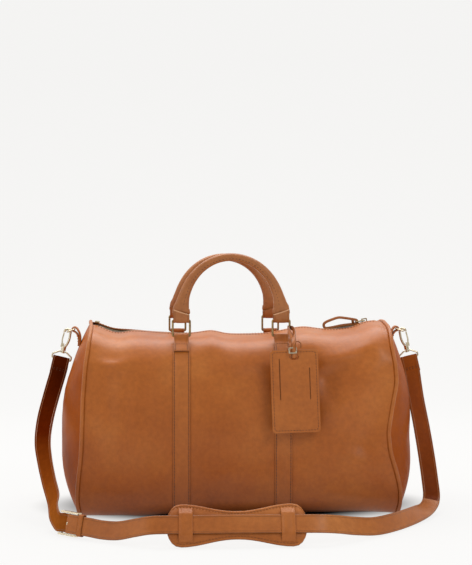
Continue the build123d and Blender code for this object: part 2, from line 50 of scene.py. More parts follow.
def new_material(name):
    mat = bpy.data.materials.new(name)
    mat.use_nodes = True
    return mat, mat.node_tree, mat.node_tree.nodes["Principled BSDF"]


def add(tree, kind, **values):
    node = tree.nodes.new(kind)
    for key, value in values.items():
        if key in node.inputs:
            node.inputs[key].default_value = value
        else:
            setattr(node, key, value)
    return node


def colour_ramp(tree, factor, stops):
    ramp = tree.nodes.new("ShaderNodeValToRGB")
    elements = ramp.color_ramp.elements
    while len(elements) < len(stops):
        elements.new(0.5)
    for element, (place, colour) in zip(elements, stops):
        element.position = place
        element.color = (*colour, 1)
    tree.links.new(factor, ramp.inputs["Fac"])
    return ramp.outputs["Color"]


def mix_colour(tree, a, b, factor, blend="MIX"):
    node = tree.nodes.new("ShaderNodeMix")
    node.data_type = "RGBA"
    node.blend_type = blend
    for socket, value in ((node.inputs["Factor"], factor), (node.inputs["A"], a), (node.inputs["B"], b)):
        if hasattr(value, "links"):
            tree.links.new(value, socket)
        elif isinstance(value, tuple):
            socket.default_value = (*value, 1)
        else:
            socket.default_value = value
    return node.outputs["Result"]


def scaled_coords(tree, scale=(1, 1, 1)):
    coords = tree.nodes.new("ShaderNodeTexCoord")
    mapping = add(tree, "ShaderNodeMapping")
    mapping.inputs["Scale"].default_value = scale
    tree.links.new(coords.outputs["Object"], mapping.inputs["Vector"])
    return mapping.outputs["Vector"]


def texture(tree, kind, coords, **values):
    node = add(tree, kind, **values)
    tree.links.new(coords, node.inputs["Vector"])
    return node


def bump(tree, height, strength, distance, under=None):
    """The normal of a bump made by height, laid over the normal under it."""
    node = add(tree, "ShaderNodeBump", Strength=strength, Distance=distance)
    tree.links.new(height, node.inputs["Height"])
    if under:
        tree.links.new(under, node.inputs["Normal"])
    return node.outputs["Normal"]


def map_range(tree, value, low, high, start=0.0, end=1.0):
    """A node that carries value from start..end to low..high."""
    node = add(tree, "ShaderNodeMapRange")
    node.inputs["From Min"].default_value, node.inputs["From Max"].default_value = start, end
    node.inputs["To Min"].default_value, node.inputs["To Max"].default_value = low, high
    tree.links.new(value, node.inputs["Value"])
    return node


def leather(name, deep, mid, pale, rough=0.44, grain=0.5, gloss=0.14, shade=None, shine=0.30):
    """Smooth leather with mottled colour and fine pores; shade, a painted shade, darkens its colour by
    height, as (z, colour) stops.
    """
    mat, tree, shader = new_material(name)
    coords = scaled_coords(tree)
    cloud = texture(tree, "ShaderNodeTexNoise", coords, Scale=9.0, Detail=4.0, Roughness=0.55)
    fine = texture(tree, "ShaderNodeTexNoise", coords, Scale=160.0, Detail=5.0, Roughness=0.6)
    base = colour_ramp(tree, cloud.outputs["Fac"], [(0.3, deep), (0.52, mid), (0.72, pale)])
    speck = colour_ramp(tree, fine.outputs["Fac"], [(0.35, (0.80, 0.77, 0.74)), (0.65, (1.08, 1.06, 1.04))])
    colour = mix_colour(tree, base, speck, 0.55, "MULTIPLY")
    if shade:
        # painted shade: the colour multiplied by a ramp over height
        split = tree.nodes.new("ShaderNodeSeparateXYZ")
        tree.links.new(coords, split.inputs["Vector"])
        low = colour_ramp(tree, split.outputs["Z"], shade)
        colour = mix_colour(tree, colour, low, 1.0, "MULTIPLY")
    tree.links.new(colour, shader.inputs["Base Color"])
    patch = texture(tree, "ShaderNodeTexNoise", coords, Scale=40.0, Detail=3.0)
    sheen = map_range(tree, patch.outputs["Fac"], rough - 0.06, rough + 0.08, 0.3, 0.7)
    tree.links.new(sheen.outputs["Result"], shader.inputs["Roughness"])
    shader.inputs["Coat Weight"].default_value = gloss
    shader.inputs["Coat Roughness"].default_value = 0.33
    shader.inputs["Specular IOR Level"].default_value = shine
    pores = texture(tree, "ShaderNodeTexVoronoi", coords, Scale=900.0)
    wrinkle = texture(tree, "ShaderNodeTexNoise", coords, Scale=330.0, Detail=6.0, Roughness=0.65)
    under = bump(tree, pores.outputs["Distance"], 0.35 * grain, 0.0004)
    tree.links.new(bump(tree, wrinkle.outputs["Fac"], 0.5 * grain, 0.0006, under), shader.inputs["Normal"])
    return mat


def metal(name, colour, dark, rough=0.28):
    """Plated hardware with slight tarnish."""
    mat, tree, shader = new_material(name)
    coords = scaled_coords(tree)
    spots = texture(tree, "ShaderNodeTexNoise", coords, Scale=420.0, Detail=5.0, Roughness=0.7)
    tone = colour_ramp(tree, spots.outputs["Fac"], [(0.32, dark), (0.6, colour)])
    tree.links.new(tone, shader.inputs["Base Color"])
    shader.inputs["Metallic"].default_value = 1.0
    worn = map_range(tree, spots.outputs["Fac"], rough, rough + 0.16)
    tree.links.new(worn.outputs["Result"], shader.inputs["Roughness"])
    tree.links.new(bump(tree, spots.outputs["Fac"], 0.12, 0.0002), shader.inputs["Normal"])
    return mat


def woven(name, dark, light, pitch=1400.0, rough=0.85):
    """Cloth with a fine over-and-under weave."""
    mat, tree, shader = new_material(name)
    coords = scaled_coords(tree)
    both = add(tree, "ShaderNodeMath", operation="MULTIPLY")
    for socket, direction in zip(both.inputs, "XZ"):
        yarn = texture(tree, "ShaderNodeTexWave", coords, Scale=pitch / 6.28, Distortion=0.6)
        yarn.bands_direction = direction
        tree.links.new(yarn.outputs["Fac"], socket)
    tone = colour_ramp(tree, both.outputs["Value"], [(0.0, dark), (0.8, light)])
    tree.links.new(tone, shader.inputs["Base Color"])
    shader.inputs["Roughness"].default_value = rough
    shader.inputs["Sheen Weight"].default_value = 0.3
    tree.links.new(bump(tree, both.outputs["Value"], 0.5, 0.0003), shader.inputs["Normal"])
    return mat


def plain(name, colour, rough=0.7, mottle=0.12):
    """A slightly mottled matt material."""
    mat, tree, shader = new_material(name)
    coords = scaled_coords(tree)
    spots = texture(tree, "ShaderNodeTexNoise", coords, Scale=200.0, Detail=4.0)
    low = tuple(c * (1 - mottle) for c in colour)
    tone = colour_ramp(tree, spots.outputs["Fac"], [(0.35, low), (0.65, colour)])
    tree.links.new(tone, shader.inputs["Base Color"])
    shader.inputs["Roughness"].default_value = rough
    tree.links.new(bump(tree, spots.outputs["Fac"], 0.15, 0.0003), shader.inputs["Normal"])
    return mat


TAN = (0.415, 0.115, 0.0145)
TAN_DEEP = (0.345, 0.086, 0.0085)
TAN_PALE = (0.475, 0.150, 0.025)
# Painted shade by height: body and trim leather darker towards the floor
BODY_SHADE = [(0.0, (0.50, 0.40, 0.25)), (0.06, (0.80, 0.70, 0.55)), (0.15, (1.0, 1.0, 1.0))]
# Painted shade for the end panels, which take less light: darker and redder towards the floor
END_SHADE = [(0.0, (0.62, 0.42, 0.10)), (0.22, (0.86, 0.66, 0.22)), (0.27, (1.0, 0.88, 0.60))]
BODY = leather("body_leather", TAN_DEEP, TAN, TAN_PALE, gloss=0.26, shade=BODY_SHADE, shine=0.20)
# the end panels' leather: a painted shade copy of the body leather
SHADED_END_LEATHER = leather("end_leather_painted_shade", TAN_DEEP, TAN, TAN_PALE, gloss=0.0, shade=END_SHADE, shine=0.05)
TRIM = leather("trim_leather", (0.37, 0.10, 0.0125), (0.415, 0.120, 0.017), (0.46, 0.145, 0.025),
               shade=BODY_SHADE)
HANDLE = leather("handle_leather", (0.31, 0.10, 0.026), (0.38, 0.135, 0.038), (0.45, 0.175, 0.055))
STRAP_TONES = ((0.34, 0.093, 0.014), (0.40, 0.120, 0.020), (0.47, 0.160, 0.034))
STRAP = leather("strap_leather", *STRAP_TONES, gloss=0.08, shine=0.25)
# Painted shade on the straps' rising runs, by height: the left one dark from mid height up, the right one
# darker towards the floor
LEFT_SHADE = [(0.02, (0.80, 0.75, 0.65)), (0.06, (0.62, 0.45, 0.3)), (0.115, (0.22, 0.08, 0.03)),
              (0.17, (0.20, 0.08, 0.03)), (0.19, (0.21, 0.09, 0.03))]
RIGHT_SHADE = [(0.02, (0.36, 0.20, 0.08)), (0.075, (0.46, 0.28, 0.12)), (0.14, (0.66, 0.46, 0.26)),
               (0.19, (0.74, 0.56, 0.36))]
# painted shade copies of the strap leather, for the rising runs
LEFT_STRAP_SHADED = leather("left_strap_painted_shade", *STRAP_TONES, gloss=0.0, shade=LEFT_SHADE, shine=0.0)
RIGHT_STRAP_SHADED = leather("right_strap_painted_shade", *STRAP_TONES, gloss=0.0, shade=RIGHT_SHADE, shine=0.05)
INNER = leather("strap_underside", (0.20, 0.060, 0.014), (0.26, 0.085, 0.021), (0.31, 0.11, 0.03),
                rough=0.6, gloss=0.05)
EDGE = leather("cut_edge", (0.21, 0.062, 0.011), (0.26, 0.080, 0.015), (0.31, 0.105, 0.024), 0.4, 0.2)
HIGHLIGHT_EDGE = leather("fold_lip_painted_highlight", (0.55, 0.27, 0.13), (0.66, 0.36, 0.19), (0.72, 0.42, 0.24), 0.35, 0.2)
THREAD = plain("thread", (0.115, 0.032, 0.009), 0.6)
PAD_THREAD = plain("pad_thread", (0.27, 0.080, 0.015), 0.6)
BRASS = metal("antique_brass", (0.46, 0.33, 0.16), (0.10, 0.062, 0.026), 0.24)
NICKEL = metal("pale_brass", (0.80, 0.70, 0.52), (0.42, 0.33, 0.2), 0.16)
TEETH = metal("zip_teeth_metal", (0.52, 0.40, 0.22), (0.16, 0.11, 0.05), 0.3)
TAPE = woven("zip_tape_cloth", (0.030, 0.010, 0.004), (0.075, 0.028, 0.012))
LINING = woven("lining_cloth", (0.30, 0.24, 0.16), (0.52, 0.45, 0.34))
CORD = woven("cord_cloth", (0.45, 0.38, 0.26), (0.75, 0.68, 0.52), 800.0)
BOARD = plain("board", (0.05, 0.042, 0.038), 0.6)
CARD = plain("card", (0.78, 0.75, 0.68), 0.8, 0.05)

# ---------------------------------------------------------------- mesh helpers


def make_object(name, verts, faces, materials, picks=None, smooth=True):
    """A mesh piece. picks gives each face's material index."""
    mesh = bpy.data.meshes.new(name)
    mesh.from_pydata([tuple(v) for v in verts], [], [tuple(f) for f in faces])
    for mat in materials:
        mesh.materials.append(mat)
    if picks is not None:
        mesh.polygons.foreach_set("material_index", picks)
    mesh.polygons.foreach_set("use_smooth", [smooth] * len(mesh.polygons))
    mesh.update()
    obj = bpy.data.objects.new(name, mesh)
    bpy.context.scene.collection.objects.link(obj)
    return obj


def outward(obj):
    """Turns every face of a closed piece outward."""
    work = bmesh.new()
    work.from_mesh(obj.data)
    bmesh.ops.recalc_face_normals(work, faces=work.faces)
    work.to_mesh(obj.data)
    work.free()
    return obj


def flat(rings):
    return [point for ring in rings for point in ring]


def join_meshes(parts):
    """Adds up (verts, faces, picks) lists into one."""
    verts, faces, picks = [], [], []
    for v, f, p in parts:
        base = len(verts)
        verts.extend(v)
        faces.extend([tuple(i + base for i in face) for face in f])
        picks.extend(p)
    return verts, faces, picks


def closed_piece(name, parts, materials, smooth=True):
    """One object of (verts, faces, picks) parts that are all closed, with its faces turned outward."""
    verts, faces, picks = join_meshes(parts)
    return outward(make_object(name, verts, faces, materials, picks, smooth))


def unit(v):
    return v / max(np.linalg.norm(v), 1e-12)


def heading(path, i):
    """The direction of a path at its point i."""
    return unit(path[min(i + 1, len(path) - 1)] - path[max(i - 1, 0)])


def run_length(points):
    """The distance along a path at each of its points."""
    return np.concatenate([[0], np.cumsum(np.linalg.norm(np.diff(points, axis=0), axis=1))])


def catmull(points, per):
    """A smooth curve through points, per samples in each span."""
    pts = np.array(points, dtype=float)
    ext = np.vstack([2 * pts[0] - pts[1], pts, 2 * pts[-1] - pts[-2]])
    out = []
    for i in range(1, len(ext) - 2):
        p0, p1, p2, p3 = ext[i - 1:i + 3]
        for k in range(per):
            t = k / per
            out.append(0.5 * ((2 * p1) + (p2 - p0) * t + (2 * p0 - 5 * p1 + 4 * p2 - p3) * t * t
                              + (3 * p1 - p0 - 3 * p2 + p3) * t ** 3))
    out.append(ext[-2])
    return np.array(out)


def skin_sections(rings, caps=True):
    """Faces over equal closed rings of points."""
    count, n = len(rings), len(rings[0])
    faces = []
    for i in range(count - 1):
        for j in range(n):
            a, b = i * n + j, i * n + (j + 1) % n
            faces.append((a, b, b + n, a + n))
    if caps:
        faces.append(tuple(range(n - 1, -1, -1)))
        faces.append(tuple((count - 1) * n + j for j in range(n)))
    return faces


def ring_faces(rings):
    """Faces over sections that go round and meet the first one again."""
    total = len(rings) * len(rings[0])
    return [tuple(i % total for i in face) for face in skin_sections(rings + [rings[0]], caps=False)]


def powered(value, power):
    """The value to a power, with its sign kept."""
    return math.copysign(abs(value) ** power, value)


def strap_section(width, thick, crown=0.0, crease=0.0024):
    """Points round a strap's section as (across, out), and which faces are cut edge or crease line."""
    w, t = width / 2, thick / 2
    r = min(t * 0.75, w * 0.3)
    c45 = math.sqrt(0.5)
    line = w - crease
    places = [-(w - r), -(line + 0.0004), -(line - 0.0004), -line * 0.55, 0, line * 0.55, line - 0.0004,
              line + 0.0004, w - r]
    half = []
    for k, x in enumerate(places):
        dip = 0.00025 if k in (2, 6) else 0.0
        half.append((x, t - dip + crown * (1 - (x / w) ** 2)))
    edge = [k in (1, 6, 8) for k in range(9)] + [True] * 4
    half += [(w - r + r * c45, t - r + r * c45), (w, t - r), (w, r - t), (w - r + r * c45, r - t - r * c45)]
    return half + [(-x, -y) for x, y in half], edge + edge


def ribbon_mesh(stations, width, thick, per=6, crown=0.0, mats=(0, 0, 1), crease=0.0024):
    """A strap through stations of (point, across), in metres. mats: face, back and edge materials."""
    centre = catmull([p for p, _ in stations], per)
    across = catmull([unit(np.array(a, dtype=float)) for _, a in stations], per)
    section, edge = strap_section(width, thick, crown, crease)
    rings, frames = [], []
    for i, c in enumerate(centre):
        along = heading(centre, i)
        side = unit(across[i] - along * across[i].dot(along))
        out = unit(np.cross(along, side))
        rings.append([c + side * a + out * b for a, b in section])
        frames.append((c, along, side, out))
    faces = skin_sections(rings)
    n = len(section)
    picks = []
    for i in range(len(rings) - 1):
        for j in range(n):
            picks.append(mats[2] if edge[j] else (mats[0] if j < n / 2 else mats[1]))
    picks += [mats[2], mats[2]]
    verts = flat(rings)
    return verts, faces, picks, frames


def along_line(distance, dist, values):
    """The value at a distance along a line of samples."""
    return np.array([np.interp(distance, dist, values[:, k]) for k in range(values.shape[1])])


def stitch_mesh(points, normals, pitch=0.0042, length=0.0027, radius=0.0004, pick=0):
    """A row of short stitches along a line that lies on a surface."""
    pts = np.array(points)
    nrm = np.array(normals)
    dist = run_length(pts)
    count = max(1, int(dist[-1] / pitch))
    parts = []
    for k in range(count):
        mid = (k + 0.5) * dist[-1] / count
        normal = unit(along_line(mid, dist, nrm))
        a, b = along_line(mid - length / 2, dist, pts), along_line(mid + length / 2, dist, pts)
        along = unit(b - a)
        side = unit(np.cross(along, normal))
        rings = []
        for f, r in ((0, 0.25), (0.12, 0.8), (0.5, 1.0), (0.88, 0.8), (1, 0.25)):
            lift = normal * radius * 0.5 * math.sin(math.pi * f)
            c = a + (b - a) * f + lift
            rings.append([c + (side * math.cos(q) * 1.15 + normal * math.sin(q)) * radius * r
                          for q in (0, 1.05, 2.09, 3.14, 4.19, 5.24)])
        faces = skin_sections(rings)
        parts.append((flat(rings), faces, [pick] * len(faces)))
    return join_meshes(parts)


def tube_mesh(path, radius, sides=12, closed=False, squash=(1, 1), up=(0, 0, 1), pick=0):
    """A tube along path; radius is one number or one for each point."""
    path = np.array(path)
    count = len(path)
    radii = [radius] * count if np.isscalar(radius) else radius
    rings = []
    ref = np.array(up, dtype=float)
    for i in range(count):
        if closed:
            along = unit(path[(i + 1) % count] - path[i - 1])
        else:
            along = heading(path, i)
        side = unit(np.cross(along, ref))
        ref = unit(np.cross(side, along))
        rings.append([path[i] + (side * math.cos(2 * math.pi * k / sides) * squash[0]
                                 + ref * math.sin(2 * math.pi * k / sides) * squash[1]) * radii[i]
                      for k in range(sides)])
    if closed:
        faces = ring_faces(rings)
    else:
        faces = skin_sections(rings)
    return flat(rings), faces, [pick] * len(faces)


# ---------------------------------------------------------------- the body's leather skin

TOP, ZIP_ARC = 0.249, 1.180
LEATHER_T = 0.002
MOUTH = 0.011            # half gap between the leather lips over the zip
BASE_HALF = 0.097        # half width of the base panel
# How far the base's front edge stands off the floor along the bag
BASE_EDGE = [(-0.215, 0.0), (-0.165, 0.0), (-0.095, 0.0004), (0.0, 0.0022), (0.13, 0.0040), (0.19, 0.0030),
             (0.215, 0.0)]
SEAM_RIGHT = [(0.0, 0.2175), (0.02, 0.2205), (0.038, 0.2205), (0.062, 0.2150), (0.090, 0.2060),
              (0.118, 0.2030), (0.150, 0.2085), (0.186, 0.2160), (0.212, 0.2145), (0.240, 0.2110),
              (0.262, 0.2115), (0.28, 0.213)]
SEAM_LEFT = [(0.0, 0.2175), (0.0265, 0.2216), (0.048, 0.2203), (0.085, 0.2158), (0.108, 0.2146),
             (0.135, 0.2140), (0.166, 0.2133), (0.205, 0.2106), (0.237, 0.2076), (0.262, 0.2050),
             (0.28, 0.2045)]
SEAM_BACK = [(0.0, 0.2185), (0.05, 0.2200), (0.10, 0.2150), (0.15, 0.2140), (0.20, 0.2175), (0.25, 0.2130),
             (0.28, 0.212)]
# Soft ridges (+) and hollows (-) of the leather: x0, z0, x1, z1, spread, height
FOLDS = [
    (0.205, 0.212, 0.130, 0.152, 0.020, 0.0045), (0.150, 0.150, 0.120, 0.090, 0.024, 0.0020),
    (0.200, 0.135, 0.170, 0.105, 0.022, -0.0050), (0.215, 0.050, 0.150, 0.085, 0.018, 0.0022),
    (0.110, 0.205, 0.150, 0.125, 0.014, -0.0016), (0.190, 0.235, 0.120, 0.215, 0.012, 0.0022),
    (0.175, 0.222, 0.120, 0.195, 0.009, -0.0016), (0.060, 0.110, 0.060, 0.020, 0.026, -0.0012),
    (-0.190, 0.210, -0.185, 0.120, 0.016, 0.0022), (-0.160, 0.190, -0.168, 0.070, 0.014, -0.0016),
    (-0.205, 0.120, -0.195, 0.070, 0.020, -0.0025), (-0.135, 0.170, -0.130, 0.050, 0.020, 0.0016),
    (-0.080, 0.200, -0.080, 0.030, 0.022, -0.0014), (0.000, 0.180, -0.010, 0.070, 0.045, 0.0030),
    (0.030, 0.150, 0.020, 0.050, 0.030, -0.0012), (-0.030, 0.095, -0.060, 0.060, 0.018, -0.0010),
    (-0.190, 0.040, -0.120, 0.022, 0.020, 0.0018), (0.130, 0.030, 0.185, 0.024, 0.016, 0.0018),
]
# How far the leather's top edge stands off the plain zip line along the bag, on the front and on the back
TOP_EDGE = {
    -1: [(-0.215, -0.0090), (-0.205, -0.0062), (-0.198, -0.0062), (-0.189, -0.0095), (-0.180, -0.0115),
         (-0.171, -0.0120), (-0.161, -0.0092), (-0.150, -0.0052), (-0.130, -0.0036), (-0.108, -0.0033),
         (-0.080, -0.0022), (-0.058, 0.0008), (-0.036, 0.0052), (-0.015, 0.0005), (0.019, -0.0004),
         (0.042, 0.0000), (0.060, 0.0025), (0.079, 0.0055), (0.098, 0.0064), (0.112, 0.0030), (0.125, 0.0),
         (0.138, -0.0024), (0.152, -0.0034), (0.167, -0.0036), (0.183, 0.0008), (0.192, 0.0020),
         (0.203, 0.0004), (0.215, -0.0060)],
    1: [(-0.215, -0.0060), (-0.205, -0.0026), (-0.198, -0.0036), (-0.189, -0.0060), (-0.178, -0.0076),
        (-0.150, -0.0052), (-0.120, -0.0044), (-0.080, -0.0026), (-0.040, -0.0010), (0.0, -0.0015),
        (0.10, -0.0010), (0.15, -0.0030), (0.185, -0.0005), (0.203, -0.0006), (0.215, -0.0060)],
}


def zip_height(x):
    return TOP + ZIP_ARC - math.sqrt(ZIP_ARC ** 2 - x * x)


def fillet_path(corners, radii, steps=10):
    """A polyline in the YZ plane with rounded corners."""
    out = [np.array(corners[0])]
    for a, b, c, r in zip(corners, corners[1:], corners[2:], radii):
        a, b, c = np.array(a), np.array(b), np.array(c)
        u, v = unit(a - b), unit(c - b)
        half = math.acos(max(-1.0, min(1.0, float(u.dot(v))))) / 2
        centre = b + unit(u + v) * r / math.sin(half)
        start, end = b + u * r / math.tan(half), b + v * r / math.tan(half)
        a0 = math.atan2(*(start - centre)[::-1])
        turn = (math.atan2(*(end - centre)[::-1]) - a0 + math.pi) % (2 * math.pi) - math.pi
        for k in range(steps + 1):
            angle = a0 + turn * k / steps
            out.append(centre + r * np.array([math.cos(angle), math.sin(angle)]))
    out.append(np.array(corners[-1]))
    return np.array(out)


def half_outline(x):
    """The body's section at x on the +Y side, from the zip line to the middle of the base."""
    top = zip_height(x)
    corners = [(0, top), (0.014, top), (0.100, top - 0.010), (0.121, 0.105), (0.112, 0.0014), (0, 0.0014)]
    return fillet_path(corners, [0.060, 0.062, 0.400, 0.026])


def resample(points, count, start=0.0, end=1.0):
    dist = run_length(points)
    at = np.linspace(start, end, count) * dist[-1]
    return np.column_stack([np.interp(at, dist, points[:, k]) for k in range(points.shape[1])])


def table_at(table, value):
    """A smooth curve through a table of (place, size)."""
    places = [p for p, _ in table]
    sizes = [s for _, s in table]
    wide = [np.interp(value + d, places, sizes) for d in (-0.008, -0.004, 0, 0.004, 0.008)]
    return float(np.dot(wide, (0.12, 0.23, 0.30, 0.23, 0.12)))


def smooth01(t):
    t = min(1.0, max(0.0, t))
    return t * t * (3 - 2 * t)


def seam_x(side, y, z):
    """Where the end seam stands at height z: its own line on the front, a calmer one on the back."""
    front = table_at(SEAM_RIGHT if side > 0 else SEAM_LEFT, z)
    return side * (front + (table_at(SEAM_BACK, z) - front) * smooth01((y + 0.07) / 0.14))


def fold_height(x, z, facing):
    """How far the leather stands off the plain section at a point of the front (-1) or back (1)."""
    total = 0.0
    for x0, z0, x1, z1, spread, height in FOLDS:
        if facing > 0:
            x0, x1 = -x0 * 0.9, -x1 * 0.9
        along = np.array([x1 - x0, z1 - z0])
        t = max(0.0, min(1.0, ((x - x0) * along[0] + (z - z0) * along[1]) / along.dot(along)))
        gap = math.hypot(x - x0 - along[0] * t, z - z0 - along[1] * t)
        total += 1.5 * height * math.exp(-(gap / spread) ** 2)
    ripple = noise.noise(Vector((x * 14, z * 9 + facing * 3, 0.3))) * 0.0014
    ripple += noise.noise(Vector((x * 40, z * 24, facing * 5.0))) * 0.0005
    return total + ripple


def skin_point(u, row, facing):
    """A point of the front (facing -1) or back (1) panel; row is a point (y, z) and its outward normal."""
    y, z, ny, nz = row
    half = abs(seam_x(math.copysign(1, u), facing * y, z))
    x = u * half
    edge = 1 - abs(u) ** 10
    top_share = smooth01((z - 0.205) / 0.03)
    lift = fold_height(x, z, facing) * edge * smooth01((y - 0.013) / 0.04)
    low = table_at(BASE_EDGE, x) * smooth01((0.05 - z) / 0.05)
    rise = table_at(TOP_EDGE[facing], x) * top_share
    return np.array([x, facing * (y + ny * lift), z + nz * lift + low + rise])


ROWS, COLUMNS = 104, 150


def panel_rows(x):
    """Rows of (y, z, normal) down the section at x, from the lip to the base seam."""
    line = half_outline(x)
    dist = run_length(line)
    rows = resample(line, ROWS, MOUTH / dist[-1], (dist[-1] - BASE_HALF) / dist[-1])
    ahead = np.gradient(rows, axis=0)
    normal = np.column_stack([-ahead[:, 1], ahead[:, 0]])
    normal /= np.linalg.norm(normal, axis=1)[:, None]
    return np.column_stack([rows, normal])


def skin_grid(facing):
    """Points of the front or back panel, COLUMNS by ROWS."""
    grid = []
    for i in range(COLUMNS + 1):
        u = -1 + 2 * i / COLUMNS
        rows = panel_rows(u * 0.218)
        grid.append([skin_point(u, row, facing) for row in rows])
    return np.array(grid)


GRIDS = {-1: skin_grid(-1), 1: skin_grid(1)}


def grid_place(facing, x, row):
    """A point on the skin and its outward normal, at x and row number."""
    grid = GRIDS[facing]
    r0 = int(min(ROWS - 2, max(0, math.floor(row))))
    f = row - r0
    line = grid[:, r0] * (1 - f) + grid[:, r0 + 1] * f
    c = float(np.interp(x, line[:, 0], np.arange(len(line))))
    c0 = int(min(len(line) - 2, math.floor(c)))
    point = line[c0] + (line[c0 + 1] - line[c0]) * (c - c0)
    down = unit((grid[c0, r0 + 1] - grid[c0, r0]))
    across = unit(line[c0 + 1] - line[c0])
    normal = unit(np.cross(across, down)) * (1 if facing < 0 else -1)
    if normal[1] * facing < 0 and abs(normal[1]) > 0.2:
        normal = -normal
    if normal[2] < 0 and row < 30:
        normal = -normal
    return point, normal


def thicken(obj, thickness, offset=-1):
    mod = obj.modifiers.new("thickness", "SOLIDIFY")
    mod.thickness = thickness
    mod.offset = offset
    mod.use_even_offset = False
    return mod


def grid_faces(columns, rows, flip):
    faces = []
    for i in range(columns - 1):
        for j in range(rows - 1):
            a = i * rows + j
            face = (a, a + 1, a + rows + 1, a + rows)
            faces.append(tuple(reversed(face)) if flip else face)
    return faces


for facing, node in ((-1, "front_panel"), (1, "back_panel")):
    grid = GRIDS[facing]
    faces = grid_faces(grid.shape[0], grid.shape[1], facing > 0)
    panel = make_object(node + "_leather", grid.reshape(-1, 3), faces, [BODY])
    thicken(panel, LEATHER_T)
    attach(panel, "bag")
    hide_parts(node)

# ---------------------------------------------------------------- end panels, piping and base

DOME_X = 0.2500
DOME_CENTRE_Z = 0.105


def seam_loop(side):
    """The closed line where an end panel meets the front, the base, the back and the zip's end."""
    col = 0 if side < 0 else COLUMNS
    front, back = GRIDS[-1][col], GRIDS[1][col][::-1]
    low_front, low_back = front[-1], back[0]
    base = [low_front + (low_back - low_front) * t + np.array([0, 0, -0.0012 * math.sin(math.pi * t)])
            for t in np.linspace(0, 1, 30)[1:-1]]
    top = [back[-1] + (front[0] - back[-1]) * t for t in np.linspace(0, 1, 6)[1:-1]]
    loop = np.vstack([front, base, back, top, front[:1]])
    return resample(loop, 241)[:-1]


def end_panel(side, name):
    loop = seam_loop(side)
    shares = [1.0, 0.985, 0.96, 0.93, 0.89, 0.84, 0.78, 0.71, 0.63, 0.54, 0.44, 0.33, 0.22, 0.11, 0.04]
    rings = []
    for s in shares:
        ring = []
        for x, y, z in loop:
            py, pz = y * s, DOME_CENTRE_Z + (z - DOME_CENTRE_Z) * s
            swell = (1 - s ** 2.3) * (DOME_X - abs(x))
            dent = noise.noise(Vector((py * 16, pz * 16, side * 4.0))) * 0.0022 * (1 - s)
            top_in = 0.004 * smooth01((pz - 0.17) / 0.06) * (1 - s)
            ring.append((side * (abs(x) + swell + dent - top_in - 0.0002), py, pz))
        rings.append(ring)
    verts = flat(rings)
    faces = skin_sections(rings, caps=False)
    n = len(loop)
    verts.append((side * (DOME_X - 0.0006), 0, DOME_CENTRE_Z))
    last = (len(rings) - 1) * n
    faces += [(last + j, last + (j + 1) % n, len(verts) - 1) for j in range(n)]
    if side > 0:
        faces = [tuple(reversed(f)) for f in faces]
    panel = make_object(name + "_leather", verts, faces, [SHADED_END_LEATHER])
    thicken(panel, LEATHER_T)
    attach(panel, "bag")
    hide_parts(name)
    return loop


PIPING_R = 0.0026
for side, where in ((-1, "left"), (1, "right")):
    loop = end_panel(side, f"end_panel_{where}")
    cord_line = []
    for x, y, z in loop:
        out = unit(np.array([0, y, z - DOME_CENTRE_Z]))
        cord_line.append(np.array([x + side * 0.0018, y, z]) + out * 0.0006)
    cord_line = np.array(cord_line)
    cord_line[:, 2] = np.maximum(cord_line[:, 2], PIPING_R + 0.0001)
    cord = tube_mesh(cord_line, PIPING_R, 12, closed=True, up=(1, 0, 0))
    piping = closed_piece(f"piping_{where}_roll", [cord], [TRIM])
    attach(piping, "bag")
    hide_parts(f"piping_{where}")

base_rows = []
for i in range(61):
    t = i / 60
    front = GRIDS[-1][int(round(t * COLUMNS)), -1]
    back = GRIDS[1][int(round(t * COLUMNS)), -1]
    row = []
    for k in range(25):
        f = k / 24
        p = front + (back - front) * f
        edge = abs(2 * f - 1)
        row.append((p[0], p[1], max(0.0004, p[2] * edge ** 6)))
    base_rows.append(row)
base_rows = np.array(base_rows)
base = make_object("base_leather", base_rows.reshape(-1, 3), grid_faces(61, 25, False), [BODY])
outward(base)
thicken(base, 0.0018, -1 if base.data.polygons[600].normal.z < 0 else 1)
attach(base, "bag")
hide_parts("bottom_panel")

# ---------------------------------------------------------------- bands, ring loops and their stitches

HANDLE_MID = {-1: -0.010, 1: -0.015}
SPAN = 0.070
# half width, stitches as a share of it, height of the top end
BAND_HALF, BAND_SEW, BAND_TOP = 0.0122, 0.82, 0.236
RING_Y, RING_LOW, RING_HIGH = 0.072, 0.249, 0.271


def row_at_height(facing, x, height):
    grid = GRIDS[facing]
    col = int(np.argmin(np.abs(grid[:, ROWS // 2, 0] - x)))
    return float(np.interp(-height, -grid[col, :, 2], np.arange(ROWS)))


def band_mesh(facing, x, top_z):
    first = row_at_height(facing, x, top_z)
    rows = np.linspace(first, ROWS - 1.02, 70)
    half = [(1, -0.0002), (0.985, 0.0012), (0.94, 0.0019), (0.82, 0.0013), (0.4, 0.0018)]
    profile = [(-across, height) for across, height in half] + [(0, 0.0019)] + half[::-1]
    profile += [(0.6, -0.0008), (-0.6, -0.0008)]
    rings, lines = [], {-1: ([], []), 1: ([], [])}
    for row in rows:
        ring = []
        for across, height in profile:
            point, normal = grid_place(facing, x + across * BAND_HALF, row)
            ring.append(point + normal * height)
        rings.append(ring)
        for s in (-1, 1):
            point, normal = grid_place(facing, x + s * BAND_HALF * BAND_SEW, row)
            lines[s][0].append(point + normal * 0.00145)
            lines[s][1].append(normal)
    faces = skin_sections(rings)
    n = len(profile)
    picks = [1 if j in (0, 9) else 0 for _ in range(len(rings) - 1) for j in range(n)] + [1, 1]
    stitches = [stitch_mesh(*lines[s], pitch=0.0042, length=0.0032, radius=0.0005, pick=2) for s in (-1, 1)]
    return join_meshes([(flat(rings), faces, picks)] + stitches)


